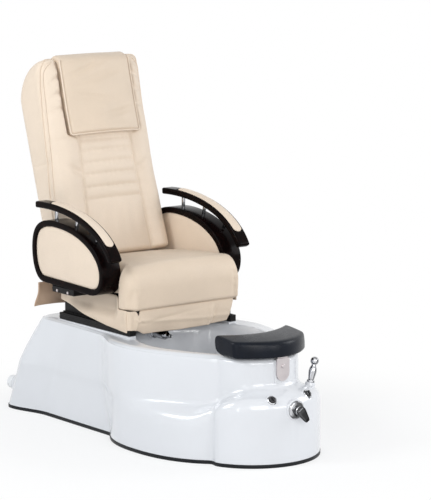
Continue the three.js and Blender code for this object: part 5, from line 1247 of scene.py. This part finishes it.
# ---- arms --------------------------------------------------------------------------
def arm_at(share, outside):
    """Points of the arm's top line in (y, z), moved outwards, with the direction along it."""
    before, point, after = (bezier(ARM_CURVE, np.clip(share + step, 0, 1)) for step in (-0.01, 0, 0.01))
    run = unit_rows(after - before)
    return point + np.stack([run[:, 1], -run[:, 0]], 1) * np.reshape(outside, (-1, 1)), run


def arm_lengths():
    """Shares of the arm's curve with their lengths along it."""
    share = np.linspace(0, 1, 400)
    return share, lengths(arm_at(share, 0.0)[0])


def rail_rule(side):
    """The curved rail, with a shallow bed in its top for the pad."""
    shares, run = arm_lengths()
    start, end = ARM_PAD_ENDS[0] - BED_LONGER, ARM_PAD_ENDS[1] + BED_LONGER

    def rule(a, b, c):
        across, up, along = rounded(a, b, c, (0, 0, 0), (RAIL_WIDTH, RAIL_THICK, run[-1]), (7, 7, 9), (7, 7, 9)).T
        share = np.interp(along, run, shares)
        on_top = (b > 0.999) & (up > RAIL_THICK - 7.2)
        in_bed = (np.abs(across - RAIL_WIDTH / 2) < ARM_PAD_HALF + BED_ROOM) & (share > start) & (share < end)
        point, _ = arm_at(share, up - RAIL_THICK - BED_DEPTH * (in_bed & on_top))
        return upright(point, side * (ARM_OUTER_X - across))
    return rule


def pad_rule(side):
    """The slightly domed pad in the rail's bed."""
    shares, run = arm_lengths()
    start, end = np.interp(ARM_PAD_ENDS, shares, run)

    def rule(a, b, c):
        across, up, along = rounded(a, b, c, (-ARM_PAD_HALF, 0, start), (ARM_PAD_HALF, 7, end), (19.8, 0, 19.8),
                                    (19.8, 4.0, 19.8)).T
        dome = 1.6 * (1 - (across / ARM_PAD_HALF) ** 2) * ease(up, 2, 6)
        point, _ = arm_at(np.interp(along, run, shares), up - 2.7 + dome)
        return upright(point, side * (ARM_OUTER_X - RAIL_WIDTH / 2 - across))
    return rule


def ring_outline():
    """The oval frame's outline seen from the side, in (y, z)."""
    line = np.vstack([bezier(curve, np.linspace(0, 1, 60)[:-1]) for curve in RING_CURVES])
    return resampled(line, 160, closed=True)[::-1]


def ring_shape(side):
    """The oval frame: its outline swept with a section that has four rounded corners."""
    outline = ring_outline()
    far, near = ARM_OUTER_X - RING_EDGE, RING_INNER_X + RING_EDGE
    low, high = RING_EDGE, RING_BAND - RING_EDGE
    rings = []
    for quarter, (x, inward) in enumerate(((far, low), (far, high), (near, high), (near, low))):
        for angle in arc(-90, 0, 5) + quarter * math.pi / 2:
            line = drawn_in(outline, inward + RING_EDGE * math.sin(angle))
            rings.append(upright(line, side * (x + RING_EDGE * math.cos(angle))))
    return skin(rings, "joined")


def insert_shape(side):
    """A domed leather panel that fills the ring."""
    outline = drawn_in(ring_outline(), RING_BAND + GAP)
    middle = np.array([330.0, 690.0])
    shares = [0.02, 0.1, 0.25, 0.45, 0.65, 0.82, 0.92, 0.97, 0.99, 1.0]
    outer, inner = [], []
    for share in shares:
        line = mix(middle, outline, share)
        dome = 5.0 * (1 - share ** 2) + 4.0 * math.sqrt(max(0.0, 1 - max(0.0, (share - 0.9) / 0.1) ** 2)) - 4.0
        outer.append(upright(line, side * (ARM_OUTER_X - 5 + dome)))
        inner.append(upright(line, side * (RING_INNER_X + 5 - dome * 0.5)))
    return skin(outer + inner[::-1])


class CHAIR_OT_arms(bpy.types.Operator):
    """Make the lacquered arms with their inlaid pads, panels and chrome posts"""

    bl_idname = "spa_chair.arms"
    bl_label = "Arms"

    def execute(self, context):
        for name, side in SIDES.items():
            made(ring_shape(side), f"arm_frame_{name}", "seat", "lacquer", "lacquer", [f"arm_ring_{name}"], sharp=60)
            panel = made(insert_shape(side), f"arm_panel_{name}", "seat", "leather_cream", "cream",
                         [f"arm_insert_{name}"])
            made(moved(lattice(24, 8, 150), rail_rule(side)), f"arm_top_{name}", "seat", "lacquer", "lacquer",
                 [f"arm_rail_{name}"], sharp=50)
            pad = made(moved(lattice(16, 5, 100), pad_rule(side)), f"arm_cushion_{name}", "seat", "leather_cream",
                       "cream", [f"arm_pad_{name}"], 1)
            for i, (share, gap) in enumerate(POSTS):
                (under,), (run,) = arm_at(np.array([share]), -RAIL_THICK)
                down = np.array([-run[1], run[0]])
                origin = (side * (ARM_OUTER_X - RAIL_WIDTH / 2), *(under - down * POST_SUNK))
                length = gap + 2 * POST_SUNK
                profile = [(0, 0), (POST_RADIUS, 0), (POST_RADIUS, length), (0, length)]
                made(turned(profile, origin, (0, *down), 0.6, 40), f"chrome_post_{name}_{i + 1}", "seat", "chrome",
                     "chrome", [f"arm_post_{name}_{i + 1}"], sharp=40)
        return {"FINISHED"}


# ---- plain metal parts -------------------------------------------------------------
class CHAIR_OT_metalwork(bpy.types.Operator):
    """Give the frame, rails, hinges, bolts, pump and plate their finishes"""

    bl_idname = "spa_chair.metalwork"
    bl_label = "Metalwork"

    def execute(self, context):
        painted = {"seat_frame": "black_paint", "circulation_pump": "pump"}
        painted.update(dict.fromkeys(("drain_body", "footrest_plate", "footrest_screw", "footrest_blade"), "steel"))
        for side in SIDES:
            for part in ("slide_rail", "seat_rail", "back_hinge", "arm_bracket"):
                painted[f"{part}_{side}"] = "black_paint"
            for part in (f"hinge_pin_{side}", f"bracket_bolt_{side}_1", f"bracket_bolt_{side}_2"):
                painted[part] = "steel"
        for name, finish in painted.items():
            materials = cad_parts[name].data.materials
            materials.clear()
            materials.append(finish_of(finish))
        return {"FINISHED"}


# ---- stage -------------------------------------------------------------------------
def area_light(name, at, aim, size, power, color):
    data = bpy.data.lights.new(name, "AREA")
    data.shape = "RECTANGLE"
    data.size, data.size_y = size
    data.energy = power
    data.color = color
    lamp = linked(name, data)
    lamp.location = at
    lamp.rotation_euler = (Vector(aim) - Vector(at)).to_track_quat("-Z", "Y").to_euler()


def seen_rays(tree):
    """One for rays from the camera and for what mirrors and glass show."""
    rays = node(tree, "ShaderNodeLightPath").outputs
    plain = worked(tree, "MAXIMUM", rays["Is Camera Ray"], rays["Is Glossy Ray"])
    return worked(tree, "MAXIMUM", plain, rays["Is Transmission Ray"])


def shaders_mixed(tree, share, a, b):
    return socket(tree, "ShaderNodeMixShader", {0: share, 1: a, 2: b})


def floor_material(color):
    """A matt floor that fades to plain white away from the chair."""
    material = bpy.data.materials.new("Plain floor")
    material.use_nodes = True
    tree = material.node_tree
    shader = tree.nodes["Principled BSDF"]
    wire(tree, shader, {"Base Color": (*color, 1), "Roughness": 0.9, "Specular IOR Level": 0.1})
    where = socket(tree, "ShaderNodeTexCoord", port="Object")
    far = socket(tree, "ShaderNodeVectorMath", {0: where}, "Value", operation="LENGTH")
    fade = ranged(tree, far, 0.45, 1.5, 0.62, 1.0, "SMOOTHSTEP")
    glow = socket(tree, "ShaderNodeEmission", {"Color": (1, 1, 1, 1), "Strength": 1.0})
    seen = worked(tree, "MULTIPLY", seen_rays(tree), fade)
    wire(tree, tree.nodes["Material Output"], {"Surface": shaders_mixed(tree, seen, shader.outputs[0], glow)})
    return material


def surround(strength):
    """A soft sky that looks plain white to the camera."""
    world = bpy.data.worlds.new("Surround")
    world.use_nodes = True
    tree = world.node_tree
    tree.nodes.clear()
    soft = socket(tree, "ShaderNodeBackground", {"Color": (0.93, 0.96, 1.0, 1), "Strength": strength})
    white = socket(tree, "ShaderNodeBackground", {"Color": (1, 1, 1, 1), "Strength": 1.0})
    node(tree, "ShaderNodeOutputWorld", {"Surface": shaders_mixed(tree, seen_rays(tree), soft, white)})
    return world


class CHAIR_OT_stage(bpy.types.Operator):
    """Make the plain floor, the soft lights and the camera"""

    bl_idname = "spa_chair.stage"
    bl_label = "Stage"

    def execute(self, context):
        scene = bpy.context.scene
        settings = scene.chair_stage
        scene.view_settings.view_transform = "Standard"
        bm = bmesh.new()
        bmesh.ops.create_grid(bm, x_segments=1, y_segments=1, size=30.0)
        mesh = bpy.data.meshes.new("floor")
        bm.to_mesh(mesh)
        bm.free()
        mesh.materials.append(floor_material(settings.floor))
        floor = linked("floor", mesh)
        scene.world = surround(settings.sky)
        for name, (at, aim, size, share, setting, color) in LAMPS.items():
            area_light(name, at, aim, size, share * getattr(settings, setting), color)
        data = bpy.data.cameras.new("photo_camera")
        data.lens = CAMERA_LENS
        data.sensor_width = 36.0
        data.clip_end = 100.0
        camera = linked("photo_camera", data)
        camera.location = CAMERA_AT
        camera.rotation_euler = CAMERA_TURN
        scene.camera = camera
        return {"FINISHED"}


class CHAIR_PT_panel(bpy.types.Panel):
    """Lists the chair's pieces and settings."""

    bl_label = "Spa chair"
    bl_idname = "CHAIR_PT_panel"
    bl_space_type = "VIEW_3D"
    bl_region_type = "UI"
    bl_category = "Spa chair"

    def draw(self, context):
        for step in STEPS:
            self.layout.operator(step.bl_idname)
        for settings in (context.scene.chair_upholstery, context.scene.chair_hardware, context.scene.chair_stage):
            box = self.layout.box()
            for name in settings.__annotations__:
                box.prop(settings, name)


STEPS = (CHAIR_OT_tub, CHAIR_OT_fittings, CHAIR_OT_footrest, CHAIR_OT_seat, CHAIR_OT_arms, CHAIR_OT_backrest,
         CHAIR_OT_pillow, CHAIR_OT_metalwork, CHAIR_OT_stage)
CLASSES = (ChairUpholstery, ChairHardware, ChairStage, *STEPS, CHAIR_PT_panel)


def register():
    for cls in CLASSES:
        bpy.utils.register_class(cls)
    bpy.types.Scene.chair_upholstery = bpy.props.PointerProperty(type=ChairUpholstery)
    bpy.types.Scene.chair_hardware = bpy.props.PointerProperty(type=ChairHardware)
    bpy.types.Scene.chair_stage = bpy.props.PointerProperty(type=ChairStage)


def unregister():
    del bpy.types.Scene.chair_stage
    del bpy.types.Scene.chair_hardware
    del bpy.types.Scene.chair_upholstery
    for cls in reversed(CLASSES):
        bpy.utils.unregister_class(cls)


def main():
    """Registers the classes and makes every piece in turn."""
    register()
    for step in STEPS:
        group, name = step.bl_idname.split(".")
        getattr(getattr(bpy.ops, group), name)()


if __name__ == "__main__":
    main()
